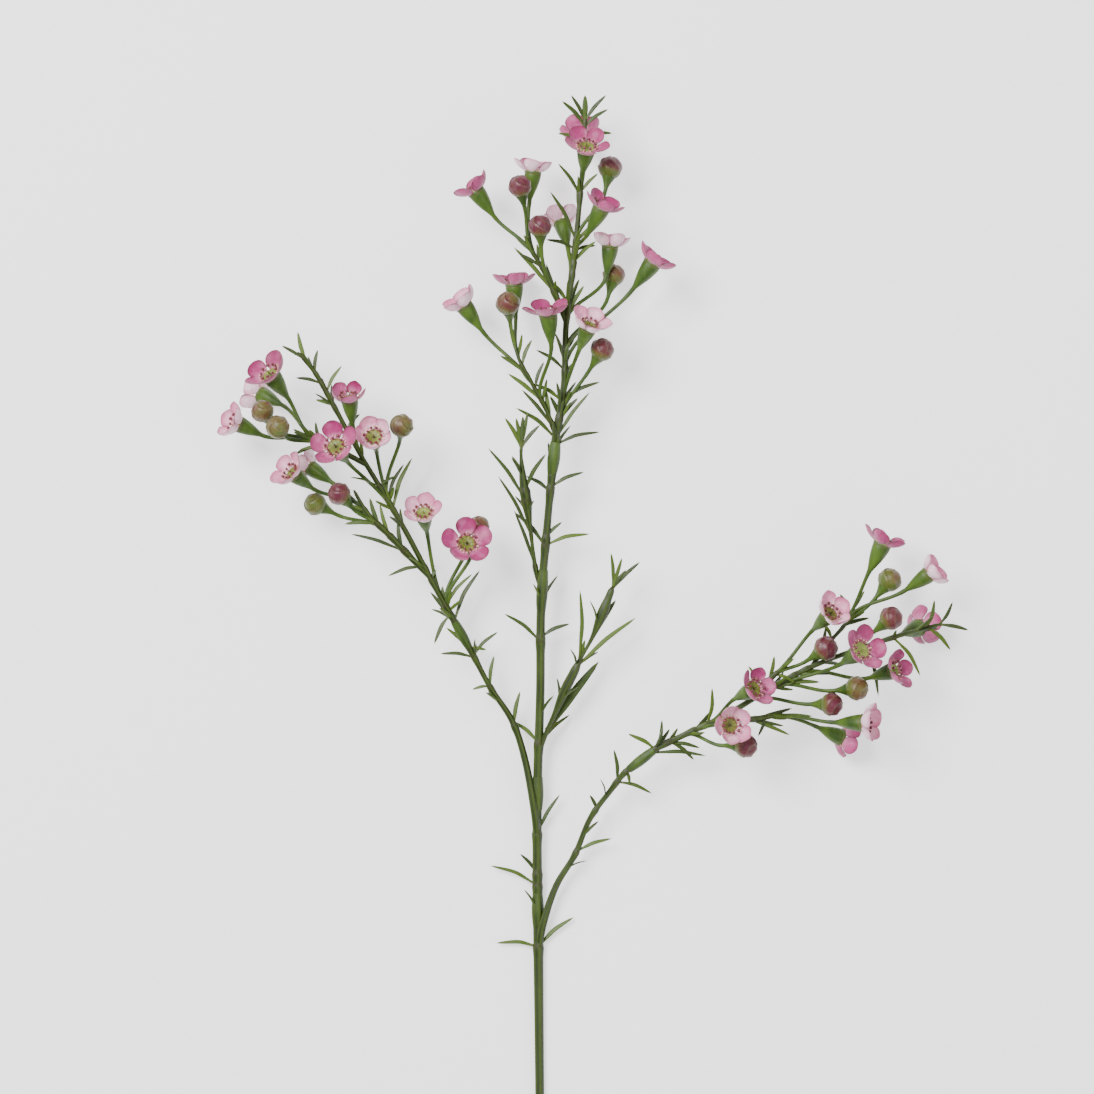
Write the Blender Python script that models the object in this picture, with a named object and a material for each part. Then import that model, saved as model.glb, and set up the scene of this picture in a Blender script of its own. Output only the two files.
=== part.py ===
"""Waxflower stem, cut and laid down on a surface.

The stem lies on its back in the XY plane: +X to the right, +Y from the cut end to the tip,
+Z up from the surface. Plan sizes below are millimetres; MM turns them into metres. The plan
origin is where the stem leaves the lower edge of the view; at the end everything moves so that
the frame's origin is under the middle of the box.
"""

import math
import random

import bmesh
import bpy
from mathutils import Matrix, Quaternion, Vector

MM = 0.001
STEM_SIDES_RESOLUTION = 2
TWIG_SIDES_RESOLUTION = 1
AXIS_STEP = 22.0

PETAL_COUNT = 5
PETAL_LENGTH = 9.8
PETAL_WIDTH = 10.4
PETAL_THICKNESS = 0.8
PETAL_FOOT_ANGLE = 12.0
PETAL_CURL = 2.0
DISC_RADIUS = 4.7
DISC_HEIGHT = 1.5
CUP_TOP_RADIUS = 4.5
CUP_LENGTH = 15.0
CUP_SHOULDER_PLACE = 0.5
CUP_SHOULDER_RADIUS = 3.3
PEDICEL_RADIUS = 0.8
PEDICEL_STEPS = 2
SEAT_GAP = 0.3
BUD_SEGMENTS = 10
BUD_RINGS = 5
BUD_RIB_DEPTH = 0.05
NECK_LENGTH = 6.0

LEAF_BELLY_RADIUS = 1.05
LEAF_BOW = 0.08
LEAF_LIFT_STEP = 5.0
BLOOM_CLEARANCE = 11.5
STEM_CLEARANCE = 2.2
SURFACE_CLEARANCE = 1.4

# Each stem is a smooth line through (x, y, z, radius) points, from its root to its tip.
STEMS = {
    "main_stem": [
        (0, -100, 2.3, 2.3), (0, -40, 2.3, 2.3), (-0.5, 20, 2.4, 2.3), (-1, 70, 2.8, 2.5),
        (-1.5, 110, 4.5, 2.4), (-1.5, 150, 7.5, 2.3), (0, 200, 12, 2.2), (0.5, 245, 16.5, 2.2),
        (4, 290, 21, 1.9), (7.5, 325, 24.5, 1.9), (12, 355, 27, 1.7), (13, 385, 28.5, 1.5),
        (17, 418, 29.5, 1.4), (20.5, 455, 30, 1.2), (22.5, 487, 30.5, 0.9),
    ],
    "left_branch": [
        (-3, 141, 9.5, 1.9), (-7.5, 166, 10.5, 1.8), (-14, 186, 12, 1.6), (-25, 203, 14, 1.4),
        (-34, 220, 16.5, 1.4), (-44, 238, 19, 1.5), (-54, 256, 21.5, 1.4), (-66, 279, 24, 1.4),
        (-78, 300, 25.5, 1.3), (-90, 320, 27, 1.2), (-102, 342, 28, 1.2), (-112, 360, 28.5, 1.1),
        (-121, 371, 29, 0.8),
    ],
    "right_branch": [
        (1.5, 84, 5.5, 1.9), (8, 103, 7, 1.7), (17.5, 119, 9.5, 1.5), (25, 137, 12.5, 1.4),
        (35, 151, 16, 1.4), (43, 161, 19, 1.4), (57, 172, 22.5, 1.5), (73, 180, 25, 1.5),
        (92, 189, 26.5, 1.5), (112, 201, 27, 1.4), (134, 213, 27.5, 1.3), (160, 223, 28, 1.2),
        (182, 230, 28.5, 1.1), (200, 235, 29, 0.8),
    ],
    "left_sprig": [
        (-2.2, 262, 17.5, 1.2), (-4.6, 280, 21, 0.9), (-6, 290, 22.5, 1.9), (-7, 297, 23.5, 2.5),
        (-8.5, 307, 25, 2.0), (-9.5, 319, 26.5, 0.8), (-9.3, 324, 27, 0.9),
    ],
    "right_sprig": [
        (3.0, 180, 11, 1.2), (7, 189, 13.5, 1.3), (12, 201, 16, 2.4), (16.5, 210, 18, 2.2),
        (20, 217, 19.5, 1.0), (26, 228, 21.5, 1.1), (31, 240, 23, 2.7), (34.5, 249, 24, 1.7),
        (36.5, 254, 24.5, 0.9),
    ],
    "crown_spray": [
        (9, 326, 26, 1.2), (3.5, 341, 29, 1.1), (-4, 355, 31, 1.0), (-10, 366, 31, 0.9),
        (-13, 375, 30, 0.7),
    ],
    "right_spray": [
        (135, 213, 27, 1.1), (144, 225, 23, 1.0), (152, 234, 21.5, 0.9), (157, 243, 21.5, 0.7),
    ],
    "crown_left_shoot": [
        (12.8, 386, 28.5, 1.2), (9, 396, 31, 1.5), (2, 411, 33, 1.2), (-5, 422, 34, 0.8),
    ],
    "left_shoot": [
        (-56, 259, 22, 1.2), (-65, 268.5, 26, 1.6), (-75, 279, 29, 1.5), (-86, 290, 31, 1.2),
        (-93, 302, 32, 0.8),
    ],
    "left_high_shoot": [
        (-86, 314, 26.5, 1.2), (-95, 319, 29, 1.4), (-104, 323, 31, 1.3), (-113, 327, 32, 0.9),
    ],
    "right_mid_shoot": [
        (104, 196.5, 27, 1.2), (112, 205, 28.5, 1.4), (120, 212.5, 30, 0.9),
    ],
    "right_low_shoot": [
        (93, 189, 26.5, 1.2), (105, 187.5, 27.5, 1.4), (118, 189.5, 28, 0.9),
    ],
}

# The twigs that are one solid with the stem that carries them.
TWIGS = {
    "crown_spray": "main_stem",
    "crown_left_shoot": "main_stem",
    "left_shoot": "left_branch",
    "left_high_shoot": "left_branch",
    "right_spray": "right_branch",
    "right_mid_shoot": "right_branch",
    "right_low_shoot": "right_branch",
}

# The thicker sheaths where a shoot joins: stem, first and last height along it, radius.
SHEATHS = [
    ("main_stem", 310, 326, 3.2),
    ("main_stem", 240, 262, 2.9),
    ("main_stem", 140, 158, 3.1),
    ("main_stem", 80, 100, 3.1),
    ("left_branch", 223, 236, 2.5),
    ("right_branch", 162, 172, 2.6),
]

# Blooms: name, stem, disc centre (x, y, z), facing, cup colour group, openness in degrees,
# diameter, pedicel root on the stem (x, y), turn about the axis in degrees.
DEEP, PALE = "deep", "pale"
BLOOMS = [
    ("crown_bloom_01", "main_stem", (20.5, 480, 12.05), (-0.1, 0.80, -0.6), DEEP, 32, 23, (21, 447), 0),
    ("crown_bloom_02", "main_stem", (23, 472, 42), (0.1, 0.75, 0.65), DEEP, 28, 24, (20, 446), 20),
    ("crown_bloom_03", "crown_left_shoot", (-32, 451, 30), (-0.58, 0.8, 0.1), DEEP, 35, 23, (-4, 420), 40),
    ("crown_bloom_04", "crown_left_shoot", (-3.5, 461, 27), (0.12, 0.99, 0.05), PALE, 39, 22, (-1, 414), 10),
    ("crown_bloom_05", "main_stem", (30.5, 442, 41), (0.45, 0.85, 0.25), DEEP, 35, 23, (19, 420), 30),
    ("crown_bloom_06", "main_stem", (11, 436, 13), (-0.2, 0.85, -0.5), PALE, 37, 22, (15, 400), 0),
    ("crown_bloom_07", "main_stem", (35, 424, 21), (0.12, 0.98, 0.0), PALE, 41, 22, (13, 385), 50),
    ("crown_bloom_08", "main_stem", (56, 415, 33), (0.6, 0.8, 0.1), DEEP, 30, 24, (13, 360), 15),
    ("crown_bloom_09", "crown_spray", (-13, 405, 16), (-0.05, 1.0, 0.05), DEEP, 30, 23, (-11, 368), 25),
    ("crown_bloom_10", "crown_spray", (-38, 394, 27), (-0.58, 0.8, 0.2), PALE, 41, 23, (-3, 354), 35),
    ("crown_bloom_11", "crown_spray", (4, 389, 44.5), (-0.1, 0.95, 0.25), DEEP, 26, 24, (1, 345), 5),
    ("crown_bloom_12", "main_stem", (24, 383, 45), (0.3, 0.75, 0.55), PALE, 37, 23, (10, 340), 45),
    ("left_bloom_01", "left_high_shoot", (-134, 359, 40), (-0.5, 0.68, 0.52), DEEP, 32, 25, (-111, 326), 10),
    ("left_bloom_02", "left_high_shoot", (-140, 350, 11.57), (-0.7, 0.35, -0.5), PALE, 33, 22,
     (-108, 325), 30),
    ("left_bloom_03", "left_high_shoot", (-151, 335, 28), (-0.8, 0.38, 0.4), PALE, 43, 22, (-112, 327), 50),
    ("left_bloom_04", "left_branch", (-95, 347, 36), (-0.1, 0.85, 0.45), DEEP, 45, 22, (-86, 318), 20),
    ("left_bloom_05", "left_branch", (-101, 323, 52), (-0.3, 0.42, 0.85), DEEP, 30, 25, (-76, 290), 25),
    ("left_bloom_06", "left_branch", (-82.5, 328, 45), (-0.05, 0.4, 0.9), PALE, 43, 23, (-72, 292), 0),
    ("left_bloom_07", "left_shoot", (-123, 310, 38), (-0.65, 0.5, 0.55), PALE, 34, 22, (-86, 291), 40),
    ("left_bloom_08", "left_shoot", (-115, 313, 17), (-0.75, 0.5, -0.35), PALE, 39, 21, (-84, 289), 12),
    ("left_bloom_09", "left_branch", (-58, 290, 37), (-0.1, 0.62, 0.75), PALE, 39, 22, (-41, 247), 30),
    ("left_bloom_10", "left_branch", (-36.5, 275, 38), (0.12, 0.42, 0.9), DEEP, 22, 25, (-41, 245), 5),
    ("right_bloom_01", "right_spray", (171, 275, 28), (0.43, 0.9, 0.1), DEEP, 30, 24, (156, 240), 0),
    ("right_bloom_02", "right_spray", (194, 260, 32), (0.8, 0.56, 0.2), PALE, 43, 22, (153, 236), 20),
    ("right_bloom_03", "right_mid_shoot", (144, 240, 42), (0.5, 0.5, 0.65), PALE, 41, 23, (119, 211), 40),
    ("right_bloom_04", "right_branch", (159, 222, 51), (0.55, 0.4, 0.75), DEEP, 28, 25, (114, 202), 25),
    ("right_bloom_05", "right_branch", (176, 212, 37), (0.75, 0.25, 0.5), DEEP, 34, 22, (128, 210), 50),
    ("right_bloom_06", "right_branch", (190, 233, 13), (0.6, 0.2, -0.75), DEEP, 34, 23, (160, 222), 10),
    ("right_bloom_07", "right_branch", (106, 203, 43), (0.6, 0.35, 0.7), DEEP, 38, 23, (84, 185), 30),
    ("right_bloom_08", "right_branch", (94, 185, 45), (0.42, 0.02, 0.9), PALE, 39, 23, (74, 180), 15),
    ("right_bloom_09", "right_low_shoot", (161, 186, 37), (0.93, 0.0, 0.35), PALE, 41, 23, (116, 189), 0),
    ("right_bloom_10", "right_low_shoot", (151, 178, 11.62), (0.8, -0.35, -0.45), DEEP, 38, 22,
     (113, 188.5), 35),
]

# Buds: name, stem, centre (x, y, z), facing, radius, pedicel root on the stem (x, y).
BUDS = [
    ("crown_bud_01", "main_stem", (35, 463, 26), (0.2, 0.95, -0.2), 6.0, (20, 425)),
    ("crown_bud_02", "crown_left_shoot", (-10, 453, 40), (-0.2, 0.9, 0.35), 5.7, (-3.5, 419.5)),
    ("crown_bud_03", "crown_left_shoot", (0, 433, 41), (-0.05, 0.95, 0.3), 5.7, (7, 399)),
    ("crown_bud_04", "main_stem", (37, 410, 13), (0.25, 0.95, -0.25), 5.6, (13, 370)),
    ("crown_bud_05", "crown_spray", (-16, 395, 33), (-0.1, 0.85, 0.5), 6.0, (-12, 372)),
    ("crown_bud_06", "main_stem", (31, 372, 31), (0.5, 0.8, 0.2), 5.9, (9, 335)),
    ("left_bud_01", "left_high_shoot", (-138, 341, 41), (-0.5, 0.7, 0.5), 5.6, (-112.5, 327)),
    ("left_bud_02", "left_high_shoot", (-130, 333, 49), (-0.3, 0.4, 0.85), 5.8, (-108, 325)),
    ("left_bud_03", "left_branch", (-69, 334, 33), (0.1, 0.6, 0.8), 5.9, (-74, 296)),
    ("left_bud_04", "left_shoot", (-100, 300, 37), (-0.6, 0.65, 0.4), 5.7, (-80, 284)),
    ("left_bud_05", "left_shoot", (-112.5, 295, 22), (-0.8, 0.4, 0.2), 5.7, (-78, 281)),
    ("left_bud_06", "left_branch", (-30.5, 284, 25), (0.2, 0.9, 0.1), 5.2, (-42, 243)),
    ("right_bud_01", "right_spray", (175, 257, 22), (0.6, 0.75, -0.1), 6.0, (152, 234)),
    ("right_bud_02", "right_branch", (175, 238, 34), (0.75, 0.6, 0.2), 5.9, (150, 220)),
    ("right_bud_03", "right_mid_shoot", (142.5, 223, 34), (0.75, 0.5, 0.3), 6.1, (116, 209)),
    ("right_bud_04", "right_branch", (158, 203, 32.5), (0.95, 0.1, 0.25), 6.0, (116, 203)),
    ("right_bud_05", "right_branch", (145.5, 195, 31), (0.95, 0.0, 0.25), 5.8, (104, 196)),
    ("right_bud_06", "right_branch", (102.5, 174.5, 36), (0.95, 0.0, 0.3), 6.0, (72, 178)),
]

# Needle leaves seen in the view, by stem: (root x, root y, tip x, tip y).
LEAVES = {
    "crown_spray": [
        (6, 334, -9, 352), (5, 336, 3, 352), (0, 347, -16, 360), (-3, 352, 2, 366), (-7, 360, -20, 369),
        (-9, 364, -4, 377),
    ],
    "right_spray": [
        (140, 219, 143, 234), (146, 227, 141, 236), (152, 234, 165, 238), (155, 240, 150, 250),
    ],
    "crown_left_shoot": [
        (5, 400, -13, 423), (1, 413, -11, 420), (6, 401, -1, 411), (10, 394, 3, 415), (-5, 421, -7, 429),
    ],
    "left_shoot": [
        (-68, 271, -94.5, 280), (-82, 284, -97.5, 285), (-80, 284, -85, 298), (-75, 279, -80, 295),
        (-88, 292, -97, 298), (-69, 272, -71, 287),
    ],
    "left_high_shoot": [
        (-108, 324, -124, 319), (-106, 323, -120, 322), (-111, 326, -123, 331), (-109, 325, -112, 336),
    ],
    "right_mid_shoot": [
        (114, 207, 117, 219), (119, 211, 125, 216), (117, 210, 127, 206), (110, 203, 104, 214),
    ],
    "right_low_shoot": [
        (104, 188, 125, 179.5), (103, 188, 122, 184), (112, 188.5, 109, 179), (116, 189, 136, 189),
        (108, 188, 126, 193),
    ],
    "main_stem": [
        (-3, 72, -22, 74), (2, 72, 17, 87), (-3, 103, -25, 113), (-3, 109, -10, 119),
        (2, 129, 10, 149), (-2, 175, -14, 186), (2, 174, 15, 189), (-2, 226, -18, 240),
        (3, 228, 15, 235), (1, 274, -13, 291), (5, 274, 25, 280), (6, 278, 11, 286),
        (8, 303, 22, 311), (4, 301, -7, 309), (11, 324, 30, 331), (11, 327, 25, 351),
        (12, 336, 19, 348), (15, 346, 30, 356), (5, 328, -12, 343), (7, 347, -3, 355),
        (4, 310, 4, 326), (6, 339, 5, 349), (17, 389, 22, 404),
        (16, 427, 5, 451), (18, 449, 9, 465), (23, 450, 29, 460), (27, 478, 36, 480),
        (14, 476, 9, 480), (20, 415, 28, 426), (20, 421, 28, 424), (10, 423, 3, 427),
        (15, 410, 11, 433), (13, 395, 4, 407), (22, 486, 15.5, 499), (24, 486, 33, 499),
        (27, 483, 34, 492), (18, 484, 11, 496), (14, 372, 21, 383), (9, 362, -2, 372),
    ],
    "left_branch": [
        (-25, 203, -23, 219), (-26, 203, -34, 202), (-12, 184, -10, 201), (-33, 219, -21, 231),
        (-35, 217, -50, 220), (-38, 222, -47, 233), (-35, 223, -27, 222), (-46, 239, -53, 225),
        (-42, 236, -55, 251), (-44, 246, -49, 254), (-41, 247, -34, 260), (-38, 239, -30, 262),
        (-61, 262, -76, 259), (-54, 257, -52, 262), (-69, 295, -64, 318),
        (-71, 300, -68, 315), (-119, 364, -121, 381), (-114, 359, -111, 372),
        (-120, 366, -129, 374), (-109, 350, -109, 358), (-102, 353, -99, 364), (-113, 353, -122, 358),
        (-105, 343, -112, 347), (-96, 332, -90, 340), (-81, 303, -72, 309),
    ],
    "right_branch": [
        (38, 156, 37, 172), (41, 154, 56, 150), (44, 160, 45, 155), (26, 143, 25, 149),
        (19, 120, 36, 127), (56, 175, 44, 180), (57, 175, 61, 187), (63, 175, 69, 183),
        (83, 186, 86, 201), (76, 184, 86, 192), (66, 173, 80, 173), (57, 168, 83, 169),
        (68, 170, 77, 167), (83, 186, 86, 203),
        (192, 236, 197, 247), (199, 237, 206, 246), (200, 233, 214, 232),
        (196, 225, 205, 222), (180, 217, 190, 209), (167, 206, 169, 199), (176, 227, 178, 232),
        (120, 204, 140, 206), (128, 209, 146, 210), (134, 213, 150, 219),
    ],
    "left_sprig": [
        (-10, 296, -26, 323), (-4, 280, -21, 309), (-2.5, 264, -13, 292), (-5, 302, 3, 320),
        (-9, 323, -17.5, 338), (-9.5, 323, -12, 338), (-9, 324, -8.5, 339), (-9, 323, -6, 341),
        (-9, 323, 0, 334.5),
    ],
    "right_sprig": [
        (18, 217, 20, 252), (20, 214, 22.5, 227), (21, 212, 48, 238), (36, 254, 35.5, 270.5),
        (36.5, 254, 41, 268), (36, 253, 43, 262), (36, 252, 50, 266),
    ],
}

# The few broad leaves: stem, root and tip as above, half width.
BROAD_LEAVES = [
    ("right_sprig", (4, 181, 29.5, 216), 2.1),
    ("right_sprig", (27, 228, 38, 247), 1.5),
    ("main_stem", (22.5, 486, 22.5, 499), 1.4),
]

# Leaf pairs towards and away from the viewer: stem, first and last height, spacing, length.
PAIR_RUNS = [
    ("main_stem", 90, 300, 50, 15),
    ("main_stem", 322, 480, 24, 17),
    ("left_branch", 195, 250, 20, 13),
    ("left_branch", 262, 365, 20, 16),
    ("right_branch", 112, 160, 18, 13),
    ("right_branch", 172, 234, 14, 16),
    ("left_sprig", 290, 318, 16, 13),
    ("right_sprig", 196, 250, 20, 13),
]
PAIR_SEED = 7


def smooth_line(points, step=AXIS_STEP):
    """Points at about even spacing on a smooth curve through the given points."""
    knots = [Vector(p) for p in points]
    knots = [2 * knots[0] - knots[1], *knots, 2 * knots[-1] - knots[-2]]
    line = []
    for a, b, c, d in zip(knots, knots[1:], knots[2:], knots[3:]):
        count = max(1, round((c - b).length / step))
        for i in range(count):
            t = i / count
            line.append(
                0.5 * (2 * b + (c - a) * t + (2 * a - 5 * b + 4 * c - d) * t**2
                       + (3 * b - a - 3 * c + d) * t**3)
            )
    line.append(knots[-2])
    return line


AXES = {name: smooth_line([p[:3] for p in points]) for name, points in STEMS.items()}


def nearest_on_axis(stem, x, y):
    """The axis point of a stem that is nearest to (x, y) in plan, and its direction there."""
    line = AXES[stem]
    best = None
    for a, b in zip(line, line[1:]):
        run = (b - a).xy
        t = max(0.0, min(1.0, (Vector((x, y)) - a.xy).dot(run) / run.length_squared))
        spot = a.lerp(b, t)
        gap = (spot.xy - Vector((x, y))).length
        if best is None or gap < best[0]:
            best = (gap, spot, (b - a).normalized())
    return best[1], best[2]


def radius_at(stem, spot):
    """The stem's radius at a point of its axis."""
    given = min(STEMS[stem], key=lambda p: (Vector(p[:3]) - spot).length)
    return given[3]


def axis_at(stem, height):
    """The axis point of a stem at a height (y)."""
    line = AXES[stem]
    for a, b in zip(line, line[1:]):
        if a.y <= height <= b.y:
            return a.lerp(b, (height - a.y) / (b.y - a.y))
    return line[0] if height < line[0].y else line[-1]


def stem_core(stem, margin, collection):
    """The axis and the sheaths of a stem, all grown by a margin."""
    line = AXES[stem]
    radii = [radius_at(stem, p) + margin for p in line]
    pieces = [tube(stem + "_axis", line, radii, STEM_SIDES_RESOLUTION, collection)]
    for carrier, low, high, radius in SHEATHS:
        if carrier == stem:
            spots = [axis_at(stem, h) for h in (low - margin, (low + high) / 2, high + margin)]
            radii = [radius * 0.75 + margin, radius + margin, radius * 0.8 + margin]
            pieces.append(tube(f"{stem}_sheath_{low}", spots, radii, STEM_SIDES_RESOLUTION, collection))
    return pieces


def new_material(name, colour, roughness):
    """A plain material of one colour."""
    material = bpy.data.materials.new(name)
    material.use_nodes = True
    shader = material.node_tree.nodes["Principled BSDF"]
    shader.inputs["Base Color"].default_value = (*colour, 1)
    shader.inputs["Roughness"].default_value = roughness
    material.diffuse_color = (*colour, 1)
    return material


def mesh_object(name, bm, collection):
    """A new object from a bmesh in millimetres."""
    bmesh.ops.recalc_face_normals(bm, faces=bm.faces)
    bm.transform(Matrix.Scale(MM, 4))
    mesh = bpy.data.meshes.new(name)
    bm.to_mesh(mesh)
    bm.free()
    obj = bpy.data.objects.new(name, mesh)
    collection.objects.link(obj)
    return obj


def loft(bm, sections):
    """Skins closed sections of equal length, with a flat end at the first and the last."""
    rings = [[bm.verts.new(p) for p in section] for section in sections]
    count = len(rings[0])
    for low, high in zip(rings, rings[1:]):
        for i in range(count):
            j = (i + 1) % count
            bm.faces.new((low[i], low[j], high[j], high[i]))
    bm.faces.new(rings[0][::-1])
    bm.faces.new(rings[-1])


def tube(name, points, radii, resolution, collection):
    """A tapering tube along points, as a closed mesh."""
    curve = bpy.data.curves.new(name, "CURVE")
    curve.dimensions = "3D"
    curve.bevel_depth = 1.0
    curve.bevel_resolution = resolution
    curve.use_fill_caps = True
    spline = curve.splines.new("POLY")
    spline.points.add(len(points) - 1)
    for spot, place, radius in zip(spline.points, points, radii):
        spot.co = (*place, 1)
        spot.radius = radius
    guide = bpy.data.objects.new(name + "_guide", curve)
    collection.objects.link(guide)
    bpy.context.view_layer.update()
    graph = bpy.context.evaluated_depsgraph_get()
    mesh = bpy.data.meshes.new_from_object(guide.evaluated_get(graph))
    bpy.data.objects.remove(guide)
    bm = bmesh.new()
    bm.from_mesh(mesh)
    bpy.data.meshes.remove(mesh)
    bmesh.ops.remove_doubles(bm, verts=bm.verts, dist=0.01)
    return mesh_object(name, bm, collection)


def frame_of(facing):
    """The rotation that turns +Z to the way that a bloom or bud faces."""
    return Vector(facing).normalized().to_track_quat("Z", "Y")


def pedicel_line(stem, root, foot, facing):
    """A smooth line that leaves along the stem and arrives along the cup."""
    start, way = nearest_on_axis(stem, *root)
    out = Vector(facing).normalized()
    reach = (foot - start).length
    first = start + way * reach * 0.35
    last = foot - out * reach * 0.35
    line = []
    for i in range(PEDICEL_STEPS + 1):
        t = i / PEDICEL_STEPS
        s = 1 - t
        line.append(s**3 * start + 3 * s * s * t * first + 3 * s * t * t * last + t**3 * foot)
    return line


def cup_foot(bloom):
    """Where a bloom's green cup narrows into its pedicel."""
    centre, facing, size = Vector(bloom[2]), Vector(bloom[3]).normalized(), bloom[6] / 24
    return centre - facing * CUP_LENGTH * size


def bloom_stalk(bloom, collection):
    """The pedicel and the cup under a bloom, up to the seat of its petals."""
    name, stem, centre, facing, _, _, diameter, root, _ = bloom
    size = diameter / 24
    out = Vector(facing).normalized()
    foot = cup_foot(bloom)
    seat = Vector(centre) - out * (DISC_HEIGHT / 2 + SEAT_GAP)
    line = pedicel_line(stem, root, foot, facing)
    shoulder = foot.lerp(seat, CUP_SHOULDER_PLACE)
    radii = [PEDICEL_RADIUS] * PEDICEL_STEPS
    radii += [PEDICEL_RADIUS * 1.5, CUP_SHOULDER_RADIUS * size, CUP_TOP_RADIUS * size]
    return tube(name + "_stalk", [*line, shoulder, seat], radii, TWIG_SIDES_RESOLUTION, collection)


def bud_stalk(bud, collection):
    """The pedicel and the short neck under a bud."""
    name, stem, centre, facing, radius, root = bud
    out = Vector(facing).normalized()
    seat = Vector(centre) - out * (radius + SEAT_GAP)
    foot = seat - out * NECK_LENGTH
    line = pedicel_line(stem, root, foot, facing)
    radii = [PEDICEL_RADIUS] * PEDICEL_STEPS + [PEDICEL_RADIUS * 1.1, PEDICEL_RADIUS * 2.6]
    return tube(name + "_stalk", [*line, seat], radii, TWIG_SIDES_RESOLUTION, collection)


def clear_of_heads(stem, points):
    """Whether the points of a leaf on a stem miss every bloom, bud, other stem and the surface."""
    others = [name for name in STEMS if TWIGS.get(name, name) != TWIGS.get(stem, stem)]
    for point in points:
        if point.z < SURFACE_CLEARANCE:
            return False
        for other in others:
            spot, _ = nearest_on_axis(other, point.x, point.y)
            if (spot - point).length < radius_at(other, spot) + STEM_CLEARANCE:
                return False
        for bloom in BLOOMS:
            centre, out = Vector(bloom[2]), Vector(bloom[3]).normalized()
            if (point - centre - out * 3).length < BLOOM_CLEARANCE * bloom[6] / 24 + 0.8:
                return False
        for bud in BUDS:
            if (point - Vector(bud[2])).length < bud[4] + 1.4:
                return False
    return True


def leaf_line(stem, root, tip, lift):
    """A needle's midline: it leaves the stem's axis and bows towards the stem's tip."""
    start, way = nearest_on_axis(stem, *root)
    end = Vector((*tip, start.z + lift))
    end.z = max(end.z, SURFACE_CLEARANCE + 0.2)
    middle = start.lerp(end, 0.5) + way * LEAF_BOW * (end - start).length
    return [start, start.lerp(middle, 0.5) + way * 0.3, middle, end]


def seen_leaf(stem, leaf):
    """The line of a leaf in the view, bent up or down until it misses the blooms."""
    root, tip = leaf[:2], leaf[2:]
    for turn in range(9):
        lift = (turn + 1) // 2 * LEAF_LIFT_STEP * (1 if turn % 2 else -1)
        line = leaf_line(stem, root, tip, lift)
        if clear_of_heads(stem, line[1:] + [line[2].lerp(line[3], 0.5)]):
            return line
    return None


def pair_leaves(run, draw):
    """The lines of a run of leaf pairs that point towards and away from the viewer."""
    stem, first, last, spacing, length = run
    lines = []
    height = first
    while height < last:
        start, way = nearest_on_axis(stem, axis_at(stem, height).x, height)
        for side in (-1, 1):
            turn = draw.uniform(-50, 50) + (0 if side > 0 else 180)
            out = Quaternion(way, math.radians(turn)) @ (way.cross(Vector((0, 0, 1))).cross(way)).normalized()
            reach = length * draw.uniform(0.8, 1.2)
            spread = math.radians(draw.uniform(30, 55))
            end = start + (way * math.cos(spread) + out * math.sin(spread)) * reach
            middle = start.lerp(end, 0.5) + way * LEAF_BOW * reach
            line = [start, start.lerp(middle, 0.5), middle, end]
            if clear_of_heads(stem, line[1:] + [line[2].lerp(line[3], 0.5)]):
                lines.append(line)
        height += spacing * draw.uniform(0.85, 1.15)
    return lines


def needle(bm, line, belly):
    """A three-sided needle along a line: a slim root, a wider belly and a sharp point."""
    way = (line[-1] - line[0]).normalized()
    side = way.cross(Vector((0, 0, 1)))
    side = side.normalized() if side.length > 0.1 else Vector((1, 0, 0))
    up = side.cross(way).normalized()
    depth = min(belly, LEAF_BELLY_RADIUS)
    corners = [side * belly + up * depth * 0.5, -side * belly + up * depth * 0.5, -up * depth * 0.9]
    root, middle = ([bm.verts.new(place + c * wide) for c in corners]
                    for place, wide in ((line[0], 0.75), (line[2], 1.0)))
    point = bm.verts.new(line[3])
    bm.faces.new(root)
    for i in range(3):
        j = (i + 1) % 3
        bm.faces.new((root[i], root[j], middle[j], middle[i]))
        bm.faces.new((middle[i], middle[j], point))


def petal(bm, opening, length, width, turn, cup):
    """One petal: a spoon that leaves the disc nearly level and rises past the opening angle at its tip."""
    sections = []
    shape = ((0.0, 0.1), (0.33, 0.76), (0.68, 1.0), (1.0, 0.46))
    middle, before = Vector((DISC_RADIUS * 0.74, 0, 0.1)), 0.0
    for t, wide in shape:
        angle = math.radians(PETAL_FOOT_ANGLE + (opening * PETAL_CURL - PETAL_FOOT_ANGLE) * (t + before) / 2)
        middle = middle + Vector((math.cos(angle), 0, math.sin(angle))) * length * (t - before)
        before = t
        half = width * wide / 2
        edge = cup * wide * wide
        normal = Vector((-math.sin(angle), 0, math.cos(angle)))
        left = middle + Vector((0, half, 0)) + normal * edge
        right = middle - Vector((0, half, 0)) + normal * edge
        sections.append([left, middle + normal * 0.15, right, middle - normal * PETAL_THICKNESS])
    spin = Matrix.Rotation(turn, 3, "Z")
    loft(bm, [[spin @ p for p in section] for section in sections])


def joined(name, pieces, collection, solver="MANIFOLD"):
    """One solid from the pieces, by a Boolean union."""
    first, *others = pieces
    first.name = name
    first.data.name = name
    if not others:
        return first
    group = bpy.data.collections.new(name + "_pieces")
    bpy.context.scene.collection.children.link(group)
    for other in others:
        for holder in list(other.users_collection):
            holder.objects.unlink(other)
        group.objects.link(other)
    union = first.modifiers.new("union", "BOOLEAN")
    union.operation = "UNION"
    union.operand_type = "COLLECTION"
    union.collection = group
    union.solver = solver
    bpy.context.view_layer.update()
    graph = bpy.context.evaluated_depsgraph_get()
    mesh = bpy.data.meshes.new_from_object(first.evaluated_get(graph))
    first.modifiers.clear()
    old = first.data
    first.data = mesh
    bpy.data.meshes.remove(old)
    mesh.name = name
    for other in list(group.objects):
        bpy.data.objects.remove(other)
    bpy.data.collections.remove(group)
    return first


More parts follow.
